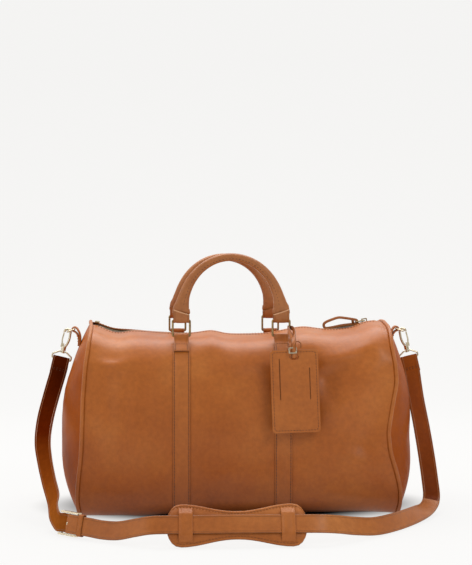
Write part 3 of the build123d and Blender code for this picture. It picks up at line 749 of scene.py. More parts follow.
def loop_mesh(facing, x):
    """The leather loop round a ring's lower bar, stitched down on the shoulder."""
    down = [(0.0945, 0.2292), (0.0915, 0.2322), (0.0885, 0.2347), (0.0850, 0.2372), (0.0795, 0.2412),
            (0.0762, 0.2447)]
    round_bar = [(RING_Y + 0.00245 * math.cos(a), RING_LOW + 0.00245 * math.sin(a))
                 for a in np.radians([0, 45, 90, 135, 180, 225, 262])]
    back = [(0.0742, 0.2440), (0.0770, 0.2412)]
    stations = [((x, facing * y, z), (1, 0, 0)) for y, z in down + round_bar + back]
    verts, faces, picks, frames = ribbon_mesh(stations, 0.0205, 0.0015, per=4, crown=0.0002)
    sew_points, sew_normals = [], []
    corner = [(-0.82, 0.5), (-0.82, 13), (0.82, 13), (0.82, 0.5), (-0.82, 0.5)]
    for (a0, i0), (a1, i1) in zip(corner, corner[1:]):
        for k in range(12):
            f = k / 12
            index = i0 + (i1 - i0) * f
            c, along, side, out = frames[int(index)]
            c2 = frames[min(len(frames) - 1, int(index) + 1)][0]
            centre = c + (c2 - c) * (index - int(index))
            face_out = out if out[1] * facing > 0 else -out
            sew_points.append(centre + side * (a0 + (a1 - a0) * f) * 0.01025 + face_out * 0.0008)
            sew_normals.append(face_out)
    sewn = stitch_mesh(sew_points, sew_normals, 0.0034, 0.0022, 0.00035, pick=2)
    return join_meshes([(verts, faces, picks), sewn])


for facing, where in ((-1, "front"), (1, "back")):
    places = [HANDLE_MID[facing] - SPAN, HANDLE_MID[facing] + SPAN]
    band_parts = [band_mesh(facing, x, BAND_TOP) for x in places]
    bands = closed_piece(f"bands_{where}_stitched", band_parts, [TRIM, EDGE, THREAD])
    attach(bands, "bag")
    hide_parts(f"bands_{where}")
    loop_parts = [loop_mesh(facing, x) for x in places]
    loops = closed_piece(f"ring_loops_{where}_leather", loop_parts, [TRIM, EDGE, THREAD])
    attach(loops, "bag")
    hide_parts(f"ring_loops_{where}")

# ---------------------------------------------------------------- handles

GRIP_START, GRIP_PULL, GRIP_LEAN = 0.292, 0.382, 0.016
FOLD_SLANT = 0.32        # how far a handle's folded end climbs, for each metre across it


def bezier(p0, p1, p2, p3, t):
    return p0 * (1 - t) ** 3 + 3 * p1 * t * (1 - t) ** 2 + 3 * p2 * t * t * (1 - t) + p3 * t ** 3


def handle_parts(facing):
    """One rolled handle: round at the hand, flattened above each ring, folded round the ring's bar."""
    y = facing * RING_Y
    left, right = HANDLE_MID[facing] - SPAN, HANDLE_MID[facing] + SPAN
    ctrl = [np.array(p) for p in ((left + 0.001, y, GRIP_START), (left + GRIP_LEAN, y, GRIP_PULL),
                                  (right - GRIP_LEAN, y, GRIP_PULL), (right - 0.001, y, GRIP_START))]
    arch = [tuple(bezier(*ctrl, t)) for t in np.linspace(0, 1, 81)]
    foot = (0.2795, 0.2815, 0.2840, 0.2870, 0.2895)
    path = np.array([(left, y, z) for z in foot] + arch + [(right, y, z) for z in foot[::-1]])
    dist = run_length(path)
    total = dist[-1]
    wide = [(0, 0.0116), (0.002, 0.0124), (0.006, 0.0120), (0.0095, 0.0111), (0.016, 0.0094),
            (0.0265, 0.0078), (0.045, 0.0069), (0.070, 0.0061), (0.100, 0.0055), (0.5, 0.0054)]
    deep = [(0, 0.0034), (0.004, 0.0048), (0.012, 0.0060), (0.026, 0.0065), (0.050, 0.0063), (0.085, 0.0058),
            (0.115, 0.0054), (0.5, 0.0054)]
    rings, seam_line, seam_normal = [], [], []
    sides = 28
    for i, c in enumerate(path):
        d = min(dist[i], total - dist[i])
        a = np.interp(d, *zip(*wide))
        b = np.interp(d, *zip(*deep))
        along = heading(path, i)
        inside = unit(np.cross(np.array([0, 1.0, 0]), along))
        ring = []
        for k in range(sides):
            q = 2 * math.pi * k / sides
            ca, sa = math.cos(q), math.sin(q)
            square = 0.80 + 0.20 * smooth01(d / 0.05)
            px = powered(ca, square) * a
            py = powered(sa, square) * b
            pinch = 0.0009 * math.exp(-((q - math.pi * (1.5 if facing < 0 else 0.5)) / 0.16) ** 2)
            ring.append(c + inside * px + np.array([0, 1, 0]) * (py + (pinch if py < 0 else -pinch)))
        rings.append(ring)
        if 0.012 < dist[i] < total - 0.012:
            seam_line.append(c + np.array([0, facing * (b - 0.0006), 0]) + inside * 0.0022)
            seam_normal.append(np.array([0, facing, 0]))
    faces = skin_sections(rings)
    sewn = stitch_mesh(seam_line, seam_normal, 0.0046, 0.0028, 0.00035, pick=2)
    parts = [(flat(rings), faces, [0] * len(faces)), sewn]
    return parts + [fold_mesh(x, y, facing) for x in (left, right)]


def fold_mesh(x, y, facing):
    """The band that closes a handle's foot round the ring's upper bar; its stitches are not drawn."""
    bar = [(0.0026 * math.cos(a), 0.0026 * math.sin(a)) for a in np.radians([205, 235, 270, 305, 335])]
    front = [(-0.0048, 0.0108), (-0.0046, 0.0085), (-0.0043, 0.0055), (-0.0037, 0.0020)]
    back = [(-dy, dz) for dy, dz in front[::-1]]
    stations = [((x, y + dy, RING_HIGH + dz), (1, 0, 0)) for dy, dz in front + bar + back]
    verts, faces, picks, _ = ribbon_mesh(stations, 0.0228, 0.0020, per=4, crown=0.0003)
    outer_side = 1 if x > HANDLE_MID[facing] else -1
    slant = []
    for p in verts:
        share = smooth01((p[2] - RING_HIGH - 0.001) / 0.009)
        slant.append(p + np.array((0, 0, outer_side * (p[0] - x) * FOLD_SLANT * share)))
    # a pale tube along the fold's top edge, a painted highlight
    lip = []
    for k in range(13):
        a = -1 + k / 6
        rise = outer_side * a * 0.0112 * FOLD_SLANT
        lip.append((x + a * 0.0110, y + facing * (0.0060 - 0.0012 * a * a), RING_HIGH + 0.0110 + rise))
    lip_mesh = tube_mesh(lip, 0.0009, 8, pick=3)
    core = [np.array((x, y, z)) for z in (0.2735, 0.2760, 0.2800, 0.2825)]
    rings = []
    for c, half, deep in zip(core, (0.0105, 0.0109, 0.0110, 0.0108), (0.0022, 0.0030, 0.0033, 0.0032)):
        rings.append([c + np.array([half * powered(math.cos(q), 0.6), deep * powered(math.sin(q), 0.6), 0])
                      for q in np.linspace(0, 2 * math.pi, 20, endpoint=False)])
    inner_faces = skin_sections(rings)
    inner = (flat(rings), inner_faces, [0] * len(inner_faces))
    return join_meshes([(slant, faces, picks), inner, lip_mesh])


for facing, where in ((-1, "front"), (1, "back")):
    handle = closed_piece(f"handle_{where}_leather", handle_parts(facing), [HANDLE, EDGE, THREAD, HIGHLIGHT_EDGE])
    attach(handle, f"handle_{where}")
    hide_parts(f"handle_{where}_grip", f"handle_{where}_ends")

# ---------------------------------------------------------------- shoulder strap

STRAP_W, STRAP_T, TIP_T = 0.024, 0.0028, 0.0019
CLIP_TILT, CLIP_HANG = math.radians(13.5), (0.244, 0, 0.2515)     # the right clip's lean and place
PAD_AT = np.array((-0.012, -0.288, 0.027))
PAD_LEAN = math.radians(30)
PAD_OUT = np.array((0, -math.cos(PAD_LEAN), math.sin(PAD_LEAN)))
PAD_RISE = np.array((0, math.sin(PAD_LEAN), math.cos(PAD_LEAN)))
ON_FLOOR = (0, -0.5, -0.866)
LONG_RUN = [
    ((0.2550, 0.0000, 0.2050), (0.97, 0, 0.23)), ((0.2573, -0.0006, 0.1945), (0.97, 0, 0.22)),
    ((0.2606, -0.018, 0.1560), (1, 0.1, 0.02)), ((0.2650, -0.038, 0.1180), (1, 0, -0.20)),
    ((0.2690, -0.054, 0.0800), (1, 0, -0.16)), ((0.2720, -0.066, 0.0460), (1, 0, -0.10)),
    ((0.2720, -0.080, 0.0220), (1, -0.12, -0.12)), ((0.2620, -0.106, 0.0126), (0.90, -0.35, -0.30)),
    ((0.2400, -0.150, 0.0122), (0.62, -0.35, -0.72)), ((0.2050, -0.200, 0.0122), (0.36, -0.20, -0.90)),
    ((0.1700, -0.238, 0.0132), (0.15, -0.40, -0.88)), ((0.1400, -0.260, 0.0180), (0, -0.46, -0.88)),
    ((0.1160, -0.277, 0.0236), ON_FLOOR), ((0.0920, -0.288, 0.0270), ON_FLOOR),
    ((0.0520, -0.2886, 0.0273), ON_FLOOR), ((-0.0120, -0.2893, 0.0277), ON_FLOOR),
    ((-0.0760, -0.2886, 0.0273), ON_FLOOR),
    ((-0.1160, -0.288, 0.0270), ON_FLOOR), ((-0.1380, -0.280, 0.0224), ON_FLOOR),
    ((-0.1600, -0.267, 0.0162), (0, -0.40, -0.90)), ((-0.1800, -0.254, 0.0146), (0, -0.32, -0.94)),
]
SHORT_RUN = [
    ((-0.2550, 0.0000, 0.2050), (0.97, 0, -0.23)), ((-0.2573, -0.0006, 0.1945), (0.97, 0, -0.22)),
    ((-0.2660, -0.024, 0.160), (1, -0.05, -0.10)), ((-0.2718, -0.052, 0.130), (1, -0.1, 0.0)),
    ((-0.2722, -0.084, 0.104), (0.95, -0.30, 0.15)), ((-0.2670, -0.108, 0.080), (0.80, -0.45, 0.25)),
    ((-0.2590, -0.135, 0.057), (0.72, -0.45, 0.40)), ((-0.2505, -0.163, 0.038), (0.62, -0.25, 0.68)),
    ((-0.2480, -0.190, 0.0265), (0.40, 0.0, 0.90)),
]
BUCKLE = np.array((-0.2260, -0.2260, 0.0177))
BUCKLE_ALONG = unit(np.array((0.85, -0.50, -0.06)))
BUCKLE_ACROSS = np.array((0.14, 0.13, 0.98))
BUCKLE_ACROSS = unit(BUCKLE_ACROSS - BUCKLE_ALONG * BUCKLE_ACROSS.dot(BUCKLE_ALONG))
BUCKLE_BACK = np.cross(BUCKLE_ALONG, BUCKLE_ACROSS)


def on_buckle(depth, along, across=0.0):
    """A point by its place on the buckle: into its back, towards the pad, and across the strap."""
    return BUCKLE + BUCKLE_BACK * depth + BUCKLE_ALONG * along + BUCKLE_ACROSS * across


def clip_axes(side):
    across = np.array((math.cos(CLIP_TILT), 0, math.sin(CLIP_TILT)))
    rise = np.array((-math.sin(CLIP_TILT), 0, math.cos(CLIP_TILT)))
    origin = np.array(CLIP_HANG) - rise * 0.0009
    flip = np.array((side, 1, 1))
    return origin * flip, across * flip, rise * flip


def clip_end(side, mat):
    """The strap's end, folded round the bar of the clip's loop and sewn back on itself."""
    origin, across, rise = clip_axes(side)
    profile = [(0.0016, -0.0600), (0.0016, -0.0520), (0.0021, -0.0455), (0.0027, -0.0410), (0.0022, -0.0382),
               (0.0, -0.0370), (-0.0022, -0.0382), (-0.0027, -0.0410), (-0.0021, -0.0455),
               (-0.0016, -0.0520), (-0.0016, -0.0610)]
    stations = [(origin + rise * z + np.array((0, y, 0)), across * side) for y, z in profile]
    parts = [ribbon_mesh(stations, STRAP_W, 0.0021, per=4, mats=(mat, 2, 1))[:3]]
    for z in (-0.0560, -0.0535):
        points = [origin + rise * z + across * (-0.009 + 0.018 * k / 8) + np.array((0, -0.0028, 0))
                  for k in range(9)]
        parts.append(stitch_mesh(points, [(0, -1, 0)] * 9, 0.0036, 0.0023, 0.00035, pick=3))
    return join_meshes(parts)


PER_SPAN = 7             # sections drawn between one station of a strap and the next
RISE_SPANS = 6           # stations down to where the right strap's face turns from the rise to the floor run
long_run = LONG_RUN + [(on_buckle(0, a), -BUCKLE_ACROSS) for a in (0.035, 0.020, 0.0065)]
verts, faces, picks, _ = ribbon_mesh(long_run, STRAP_W, STRAP_T, per=PER_SPAN, mats=(0, 2, 1), crease=0.0026)
rise_faces = (RISE_SPANS * PER_SPAN + 2) * len(strap_section(STRAP_W, STRAP_T)[0])
# faces of the rise, and the clip end below, take the right strap's painted shade material
picks = [4 if pick == 0 and i < rise_faces else pick for i, pick in enumerate(picks)]
fold_line = [(0.0021, 0.0165), (0.0024, 0.0080), (0.0021, 0.0012), (0, -0.0022), (-0.0021, 0.0012),
             (-0.0016, 0.0070)]
fold_round = [(on_buckle(depth, along), -BUCKLE_ACROSS) for depth, along in fold_line]
fold_mesh_round = ribbon_mesh(fold_round, STRAP_W, 0.0013, per=4, mats=(0, 2, 1))[:3]
long_parts = [(verts, faces, picks), fold_mesh_round, clip_end(1, 4)]
long_strap = closed_piece("long_strap", long_parts, [STRAP, EDGE, INNER, THREAD, RIGHT_STRAP_SHADED])
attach(long_strap, "bag")
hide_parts("strap_long_right", "strap_long_middle")

# the short strap's tip, in front of the buckle's middle
TIP_DEPTH, TIP_START, TIP_REACH = -0.0036, 0.020, 0.012
short_run = SHORT_RUN + [(on_buckle(TIP_DEPTH, a), BUCKLE_ACROSS)
                         for a in (-0.019, -0.010, 0.004, TIP_START)]
short_mesh = ribbon_mesh(short_run, STRAP_W, TIP_T, per=PER_SPAN, mats=(0, 2, 1), crease=0.0026)[:3]
section, edges = strap_section(STRAP_W, TIP_T)
rings = []
for k in range(9):
    q = k / 8 * math.pi / 2
    middle = on_buckle(TIP_DEPTH, TIP_START + TIP_REACH * math.sin(q))
    narrow = 0.25 + 0.75 * math.cos(q) ** 0.7 if k < 8 else 0.25
    rings.append([middle + BUCKLE_ACROSS * a * narrow - BUCKLE_BACK * b for a, b in section])
tip_picks = [1 if edge else 0 for _ in range(8) for edge in edges] + [1, 1]
short_parts = [short_mesh, clip_end(-1, 0), (flat(rings), skin_sections(rings), tip_picks)]
# the short strap's face takes the left strap's painted shade all along
short_strap = closed_piece("short_strap", short_parts, [LEFT_STRAP_SHADED, EDGE, INNER, THREAD])
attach(short_strap, "bag")
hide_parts("strap_short")

KEEPER_SIDES, KEEPER_AT, KEEPER_DEPTH = 28, 0.0190, -0.0017
KEEPER_SECTION = [(-0.0036, 0), (-0.0032, 0.0007), (0, 0.0009), (0.0032, 0.0007), (0.0036, 0),
                  (0.0032, -0.0005), (-0.0032, -0.0005)]
keeper_rings = []
for k in range(KEEPER_SIDES):
    q = 2 * math.pi * k / KEEPER_SIDES
    a = 0.0133 * powered(math.cos(q), 0.28)
    b = KEEPER_DEPTH + 0.0040 * powered(math.sin(q), 0.28)
    out = unit(np.array((a * 0.3, b - KEEPER_DEPTH)))
    keeper_rings.append([on_buckle(b + out[1] * h, KEEPER_AT + u, a + out[0] * h)
                         for u, h in KEEPER_SECTION])
keeper_picks = [1 if j in (0, 3, 4, 6) else 0 for j in range(len(KEEPER_SECTION))] * KEEPER_SIDES
keeper_mesh = (flat(keeper_rings), ring_faces(keeper_rings), keeper_picks)
keeper = closed_piece("keeper_leather", [keeper_mesh], [STRAP, EDGE])
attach(keeper, "strap_keeper")
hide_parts("strap_keeper")

# ---------------------------------------------------------------- shoulder pad

PAD_HALF, PAD_END, PAD_WAIST, PAD_T = 0.088, 0.028, 0.0185, 0.0034
PAD_SEW, BRIDGE_X = 0.0036, 0.064    # the stitches' distance from the edge, the bridges' places


def pad_place(x, out, rise):
    """A point by its place on the pad: along it, out of its face from the strap's middle, and up it."""
    return PAD_AT + np.array((x, 0, 0)) + PAD_OUT * out + PAD_RISE * rise


def pad_half_height(x):
    waist = PAD_WAIST + (PAD_END - PAD_WAIST) * smooth01(abs(x) / 0.068) ** 1.15
    end = max(0.0, (abs(x) - (PAD_HALF - 0.020)) / 0.020)
    return waist * math.sqrt(max(0.0, 1 - min(1.0, end) ** 2.6))


pad_rings = []
xs = [-PAD_HALF * math.sin(math.pi / 2 * (1 - k / 12)) for k in range(7)]
xs += list(np.linspace(-0.052, 0.052, 36))
xs = sorted(set([round(x, 6) for x in xs + [-x for x in xs[:7]]]))
xs = [x for x in xs if abs(x) < PAD_HALF - 0.0002]
xs = sorted(xs + [side * (PAD_HALF - inset) for side in (-1, 1) for inset in (0.0003, 0.0014)])
back = -(STRAP_T / 2 + 0.0003)
t2 = PAD_T / 2
for x in xs:
    h = max(0.0020, pad_half_height(x))
    line = max(0.0006, h - PAD_SEW)
    ring = []
    swell = 0.0007 * smooth01((abs(x) - 0.03) / 0.02)
    for v, o in ((-h, 0), (-h + 0.0006, 0.75 * t2), (-line - 0.0005, t2), (-line, t2 - 0.0004),
                 (-line + 0.0005, t2), (-line * 0.5, t2 + swell), (0, t2), (line * 0.5, t2 + swell),
                 (line - 0.0005, t2), (line, t2 - 0.0004),
                 (line + 0.0005, t2), (h - 0.0006, 0.75 * t2), (h, 0), (h - 0.0006, -0.75 * t2),
                 (h * 0.6, -t2), (-h * 0.6, -t2), (-h + 0.0006, -0.75 * t2)):
        ring.append(pad_place(x, back - t2 + o, v))
    pad_rings.append(ring)
around = [1 if j in (0, 11, 12, 16) else (2 if 13 <= j < 16 else 0) for j in range(len(pad_rings[0]))]
parts = [(flat(pad_rings), skin_sections(pad_rings), around * (len(pad_rings) - 1) + [1, 1])]
for s in (-1, 1):
    sew = [pad_place(x, back + 0.0002, s * max(0.001, pad_half_height(x) - PAD_SEW))
           for x in xs if abs(x) < 0.080]
    parts.append(stitch_mesh(sew, [PAD_OUT] * len(sew), 0.0040, 0.0026, 0.00035, pick=3))
half_arch = [(0.0215, back - 0.0002), (0.0190, back + 0.0012), (0.0160, 0.0012), (0.0130, 0.0026),
             (0.0080, 0.0030)]
arch = [(-v, o) for v, o in half_arch] + [(0, 0.0031)] + half_arch[::-1]
for x in (-BRIDGE_X, BRIDGE_X):
    stations = [(pad_place(x, o, v), (-1, 0, 0)) for v, o in arch]
    parts.append(ribbon_mesh(stations, 0.0175, 0.0018, per=5, mats=(0, 2, 0), crease=0.0018)[:3])
pad = closed_piece("pad_leather", parts, [STRAP, EDGE, INNER, PAD_THREAD])
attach(pad, "shoulder_pad")
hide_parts("shoulder_pad", "pad_bridges")

# ---------------------------------------------------------------- lining and inner pocket

LINING_LOW = 0.0062      # nothing of the lining hangs below this height


def inset_panel(facing, depth):
    """A cloth panel that follows the leather from the inside, depth metres in."""
    grid = GRIDS[facing]
    columns, rows = grid.shape[:2]
    along = np.gradient(grid, axis=0)
    down = np.gradient(grid, axis=1)
    normal = np.cross(along, down)
    normal /= np.maximum(np.linalg.norm(normal, axis=2)[:, :, None], 1e-9)
    if normal[columns // 2, rows // 2, 1] * facing < 0:
        normal = -normal
    pts = grid - normal * depth
    pts[:, :, 0] *= 0.985
    pts[:, :, 2] = np.maximum(pts[:, :, 2], LINING_LOW)
    return pts.reshape(-1, 3), grid_faces(columns, rows, facing > 0), [0] * ((columns - 1) * (rows - 1))


lining_parts = [inset_panel(-1, 0.0036), inset_panel(1, 0.0036)]
for side in (-1, 1):
    loop = seam_loop(side)
    rings = []
    for s in (0.96, 0.88, 0.74, 0.56, 0.34, 0.10):
        ring = []
        for x, y, z in loop:
            swell = (1 - s ** 2.3) * (DOME_X - abs(x))
            pz = max(LINING_LOW, DOME_CENTRE_Z + (z - DOME_CENTRE_Z) * s)
            ring.append((side * (abs(x) + swell - 0.0046), y * s, pz))
        rings.append(ring)
    faces = skin_sections(rings, caps=False)
    last = (len(rings) - 1) * len(loop)
    faces.append(tuple(last + j for j in range(len(loop))))
    lining_parts.append((flat(rings), faces, [0] * len(faces)))
floor_cloth = []
for i in range(41):
    x = -0.212 + 0.424 * i / 40
    for k in range(21):
        y = -0.090 + 0.180 * k / 20
        floor_cloth.append((x, y, 0.0066 + 0.0003 * noise.noise(Vector((x * 60, y * 60, 2)))))
lining_parts.append((floor_cloth, grid_faces(41, 21, False), [0] * 800))
verts, faces, picks = join_meshes(lining_parts)
lining = make_object("lining_cloth", verts, faces, [LINING], picks)
thicken(lining, 0.0006)
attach(lining, "bag")
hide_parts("lining")

(px0, _, pz0), (px1, py1, pz1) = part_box("inner_pocket")
pocket_sheet, pocket_edge = [], []
for i in range(31):
    x = px0 + (px1 - px0) * i / 30
    for k in range(21):
        z = pz0 + (pz1 - pz0) * k / 20
        belly = 0.006 * math.sin(math.pi * i / 30) ** 0.6 * math.sin(math.pi * min(1, 0.15 + k / 22))
        y = min(py1, 0.1110 + (0.105 - z) * 0.06) - 0.0016 - belly
        pocket_sheet.append((x, y, z))
    pocket_edge.append(pocket_sheet[-1])
pocket = make_object("inner_pocket_cloth", pocket_sheet, grid_faces(31, 21, False), [LINING])
thicken(pocket, 0.0007, 0)
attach(pocket, "bag")
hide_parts("inner_pocket")
binding = closed_piece("inner_pocket_edge", [tube_mesh(pocket_edge, 0.0016, 10, squash=(0.6, 1.8))], [TRIM])
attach(binding, "bag")
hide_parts("inner_pocket_binding")

# ---------------------------------------------------------------- zip

TAPE_LOW, ZIP_END, TEETH_HALF, TEETH_PITCH = -0.0022, 0.204, 0.0030, 0.0025
TOOTH = [(-0.00062, TEETH_HALF), (0.00062, TEETH_HALF), (0.00074, -0.0005), (-0.00074, -0.0005)]
BOX_FACES = [(0, 1, 2, 3), (7, 6, 5, 4), (0, 4, 5, 1), (1, 5, 6, 2), (2, 6, 7, 3), (3, 7, 4, 0)]


def zip_point(x, y, lift):
    """A point of the zip; towards the ends the tape sinks a little with the leather."""
    sink = 0.68 * min(0.0, table_at(TOP_EDGE[-1], x)) * smooth01((-0.05 - x) / 0.06)
    sink += 0.5 * min(0.0, table_at(TOP_EDGE[1], x)) * smooth01((x - 0.196) / 0.008)
    return (x, y, TOP + ZIP_ARC - math.sqrt((ZIP_ARC - lift) ** 2 - x * x) + sink)


for facing, where in ((-1, "front"), (1, "back")):
    sheet = []
    for i in range(165):
        x = -ZIP_END + 2 * ZIP_END * i / 164
        for k in range(9):
            y = facing * (TEETH_HALF - 0.0004 + (MOUTH + 0.0035 - TEETH_HALF) * k / 8)
            ripple = 0.0002 * noise.noise(Vector((x * 50, y * 90, facing)))
            sheet.append(zip_point(x, y, TAPE_LOW + ripple))
    tape = make_object(f"zip_tape_{where}_cloth", sheet, grid_faces(165, 9, facing < 0), [TAPE])
    thicken(tape, 0.0007, -1 if tape.data.polygons[0].normal.z > 0 else 1)
    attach(tape, "bag")
    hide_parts(f"zip_tape_{where}")

    parts = []
    for i in range(int(2 * ZIP_END / TEETH_PITCH)):
        x = -ZIP_END + TEETH_PITCH * (i + (0.5 if facing > 0 else 0.0)) + 0.0006
        corners = [zip_point(x + dx, facing * y, lift)
                   for lift in (TAPE_LOW - 0.0008, TAPE_LOW + 0.0010) for dx, y in TOOTH]
        parts.append((corners, BOX_FACES, [0] * 6))
    teeth = closed_piece(f"zip_teeth_{where}_row", parts, [TEETH], smooth=False)
    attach(teeth, "bag")
    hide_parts(f"zip_teeth_{where}")

    lip_points, lip_normals = [], []
    for i in range(120):
        x = -0.200 + 0.400 * i / 119
        point, normal = grid_place(facing, x, 3.2)
        lip_points.append(point + normal * 0.0001)
        lip_normals.append(normal)
    sewing = closed_piece(f"lip_stitches_{where}", [stitch_mesh(lip_points, lip_normals)], [THREAD])
    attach(sewing, "bag")


SLIDER_X = 0.188


def on_zip(x, y, lift):
    """A point given at the zip's middle, carried round the zip line to the slider's place."""
    angle = math.asin(SLIDER_X / ZIP_ARC)
    turn, rise = math.sin(angle), math.cos(angle)
    z = lift - ZIP_ARC
    return np.array((x * rise - z * turn, y, TOP + ZIP_ARC + x * turn + z * rise))


# the loop's fold from the slider's middle, and its height over the zip
PULL_AT, PULL_LIFT = -0.013, 0.0031
pull_line = [(0.0024, 0.0000), (0.0016, 0.0024), (-0.0040, 0.0045), (-0.0130, 0.0074), (-0.0235, 0.0100),
             (-0.0340, 0.0086), (-0.0435, 0.0062), (-0.0468, 0.0026), (-0.0450, -0.0018), (-0.0360, -0.0026),
             (-0.0210, -0.0020), (-0.0080, -0.0025), (0.0014, -0.0026)]
pull_stations = [(on_zip(x + PULL_AT, 0, z + PULL_LIFT), (0, 1, 0)) for x, z in pull_line + pull_line[:1]]
parts = [ribbon_mesh(pull_stations, 0.0044, 0.0036, mats=(0, 0, 0), crease=0.0009)[:3]]
for x, z, reach in ((-0.0046, 0.0010, 0.0050), (-0.0030, 0.0006, 0.0042)):
    wrap = []
    for k in range(16):
        q = 2 * math.pi * k / 16
        wrap.append(on_zip(x + PULL_AT, 0.0029 * math.cos(q), z + PULL_LIFT + reach * math.sin(q) * 0.9))
    parts.append(tube_mesh(wrap, 0.0008, 8, closed=True, up=(1, 0, 0), pick=1))
pull = closed_piece("zip_pull_thong", parts, [HANDLE, EDGE])
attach(pull, "zip_pull")
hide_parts("zip_pull")

# ---------------------------------------------------------------- tabs that hold the D-rings

D_X, D_Z = 0.234, 0.255                  # a D-ring's bar
for side, where in ((-1, "left"), (1, "right")):
    profile = [(-0.0075, -0.0240), (-0.0084, -0.0160), (-0.0080, -0.0085), (-0.0056, -0.0022),
               (-0.0028, 0.0020), (0.0004, 0.0032), (0.0030, 0.0010), (0.0020, -0.0022),
               (-0.0008, -0.0036), (-0.0036, -0.0064), (-0.0056, -0.0110), (-0.0062, -0.0170),
               (-0.0056, -0.0240)]
    stations = [((side * (D_X + x), 0, D_Z + z), (0, 1, 0)) for x, z in profile]
    tab_mesh = ribbon_mesh(stations, 0.0130, 0.0022, per=5, mats=(0, 0, 0), crease=0.0016)[:3]
    points = []
    for y0, z0, y1, z1 in ((-0.0042, -0.019, -0.0042, -0.009), (-0.0042, -0.009, 0.0042, -0.009),
                           (0.0042, -0.009, 0.0042, -0.019)):
        for k in range(8):
            z = z0 + (z1 - z0) * k / 7
            x = float(np.interp(z, (-0.020, -0.015, -0.009), (-0.0056, -0.0056, -0.0044)))
            points.append(np.array((side * (D_X + x + 0.0008), y0 + (y1 - y0) * k / 7, D_Z + z)))
    sewn = stitch_mesh(points, [(side, 0, 0.2)] * len(points), 0.0034, 0.0022, 0.00035, pick=2)
    tab = closed_piece(f"d_ring_tab_{where}_leather", [tab_mesh, sewn], [TRIM, EDGE, THREAD])
    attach(tab, "bag")
    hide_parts(f"d_ring_tab_{where}")

# ---------------------------------------------------------------- luggage tag

TAG_LEAN, TAG_TWIST = math.radians(5), math.radians(1.7)
TAG_AT = np.array((0.0750, -0.127, 0.1765))
TAG_OUT = np.array((0, -math.cos(TAG_LEAN), math.sin(TAG_LEAN)))
tag_up = np.array((0, math.sin(TAG_LEAN), math.cos(TAG_LEAN)))
TAG_RIGHT = np.array((1.0, 0, 0)) * math.cos(TAG_TWIST) + tag_up * math.sin(TAG_TWIST)
TAG_UP = tag_up * math.cos(TAG_TWIST) - np.array((1.0, 0, 0)) * math.sin(TAG_TWIST)
TAG_W, TAG_H, TAG_HOLE = 0.066, 0.113, 0.0465


def tag_at(u, v, w):
    """A point by its place on the tag: to the right, up, and out of its face."""
    return TAG_AT + TAG_RIGHT * u + TAG_UP * v + TAG_OUT * w


def rounded_box(cx, cy, width, height, radius, steps=6):
    points = []
    for sx, sy, start in ((1, 1, 0), (-1, 1, 90), (-1, -1, 180), (1, -1, 270)):
        for k in range(steps + 1):
            a = math.radians(start + 90 * k / steps)
            points.append((cx + sx * (width / 2 - radius) + radius * math.cos(a),
                           cy + sy * (height / 2 - radius) + radius * math.sin(a)))
    return points


def cut_sheet(name, outline, holes, thick, bevel, level):
    """A flat sheet with holes, on the tag's plane; its cut edges take the second material."""
    curve = bpy.data.curves.new(name, "CURVE")
    curve.dimensions = "2D"
    curve.fill_mode = "BOTH"
    curve.extrude = thick / 2 - bevel
    curve.bevel_depth = bevel
    curve.bevel_resolution = 2
    curve.offset = -bevel
    for points in [outline] + holes:
        spline = curve.splines.new("POLY")
        spline.points.add(len(points) - 1)
        for slot_point, (u, v) in zip(spline.points, points):
            slot_point.co = (u, v, 0, 1)
        spline.use_cyclic_u = True
    temp = bpy.data.objects.new(name + "_curve", curve)
    bpy.context.scene.collection.objects.link(temp)
    bpy.context.view_layer.update()
    mesh = bpy.data.meshes.new_from_object(temp.evaluated_get(bpy.context.evaluated_depsgraph_get()))
    bpy.data.objects.remove(temp)
    verts = [tag_at(v.co.x, v.co.y, v.co.z + level) for v in mesh.vertices]
    faces = [tuple(p.vertices) for p in mesh.polygons]
    picks = [0 if abs(p.normal.z) > 0.9 else 1 for p in mesh.polygons]
    return verts, faces, picks


slits = [rounded_box(-0.0205, 0.0165, 0.0011, 0.056, 0.0005, 3),
         rounded_box(0.0205, 0.0100, 0.0009, 0.043, 0.0004, 3)]
hole = rounded_box(0, TAG_HOLE, 0.012, 0.007, 0.0034, 6)
outline = rounded_box(0, 0, TAG_W, TAG_H, 0.005, 8)
front_parts = [cut_sheet("tag_face", outline, [hole] + slits, 0.0016, 0.0004, 0.0012)]
crease_path = [tag_at(u, v, 0.00195) for u, v in rounded_box(0, 0, TAG_W - 0.0064, TAG_H - 0.0064, 0.003, 6)]
crease_path.append(crease_path[0])
front_parts.append(stitch_mesh(crease_path, [TAG_OUT] * len(crease_path), 0.0040, 0.0027, 0.00035, pick=2))
verts, faces, picks = join_meshes(front_parts)
tag_front = make_object("tag_front_leather", verts, faces, [TRIM, EDGE, THREAD], picks, smooth=False)
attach(tag_front, "luggage_tag")
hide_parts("tag_front")
verts, faces, picks = cut_sheet("tag_rear", outline, [hole], 0.0021, 0.0005, -0.0008)
tag_back = make_object("tag_back_leather", verts, faces, [TRIM, EDGE], picks, smooth=False)
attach(tag_back, "luggage_tag")
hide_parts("tag_back")

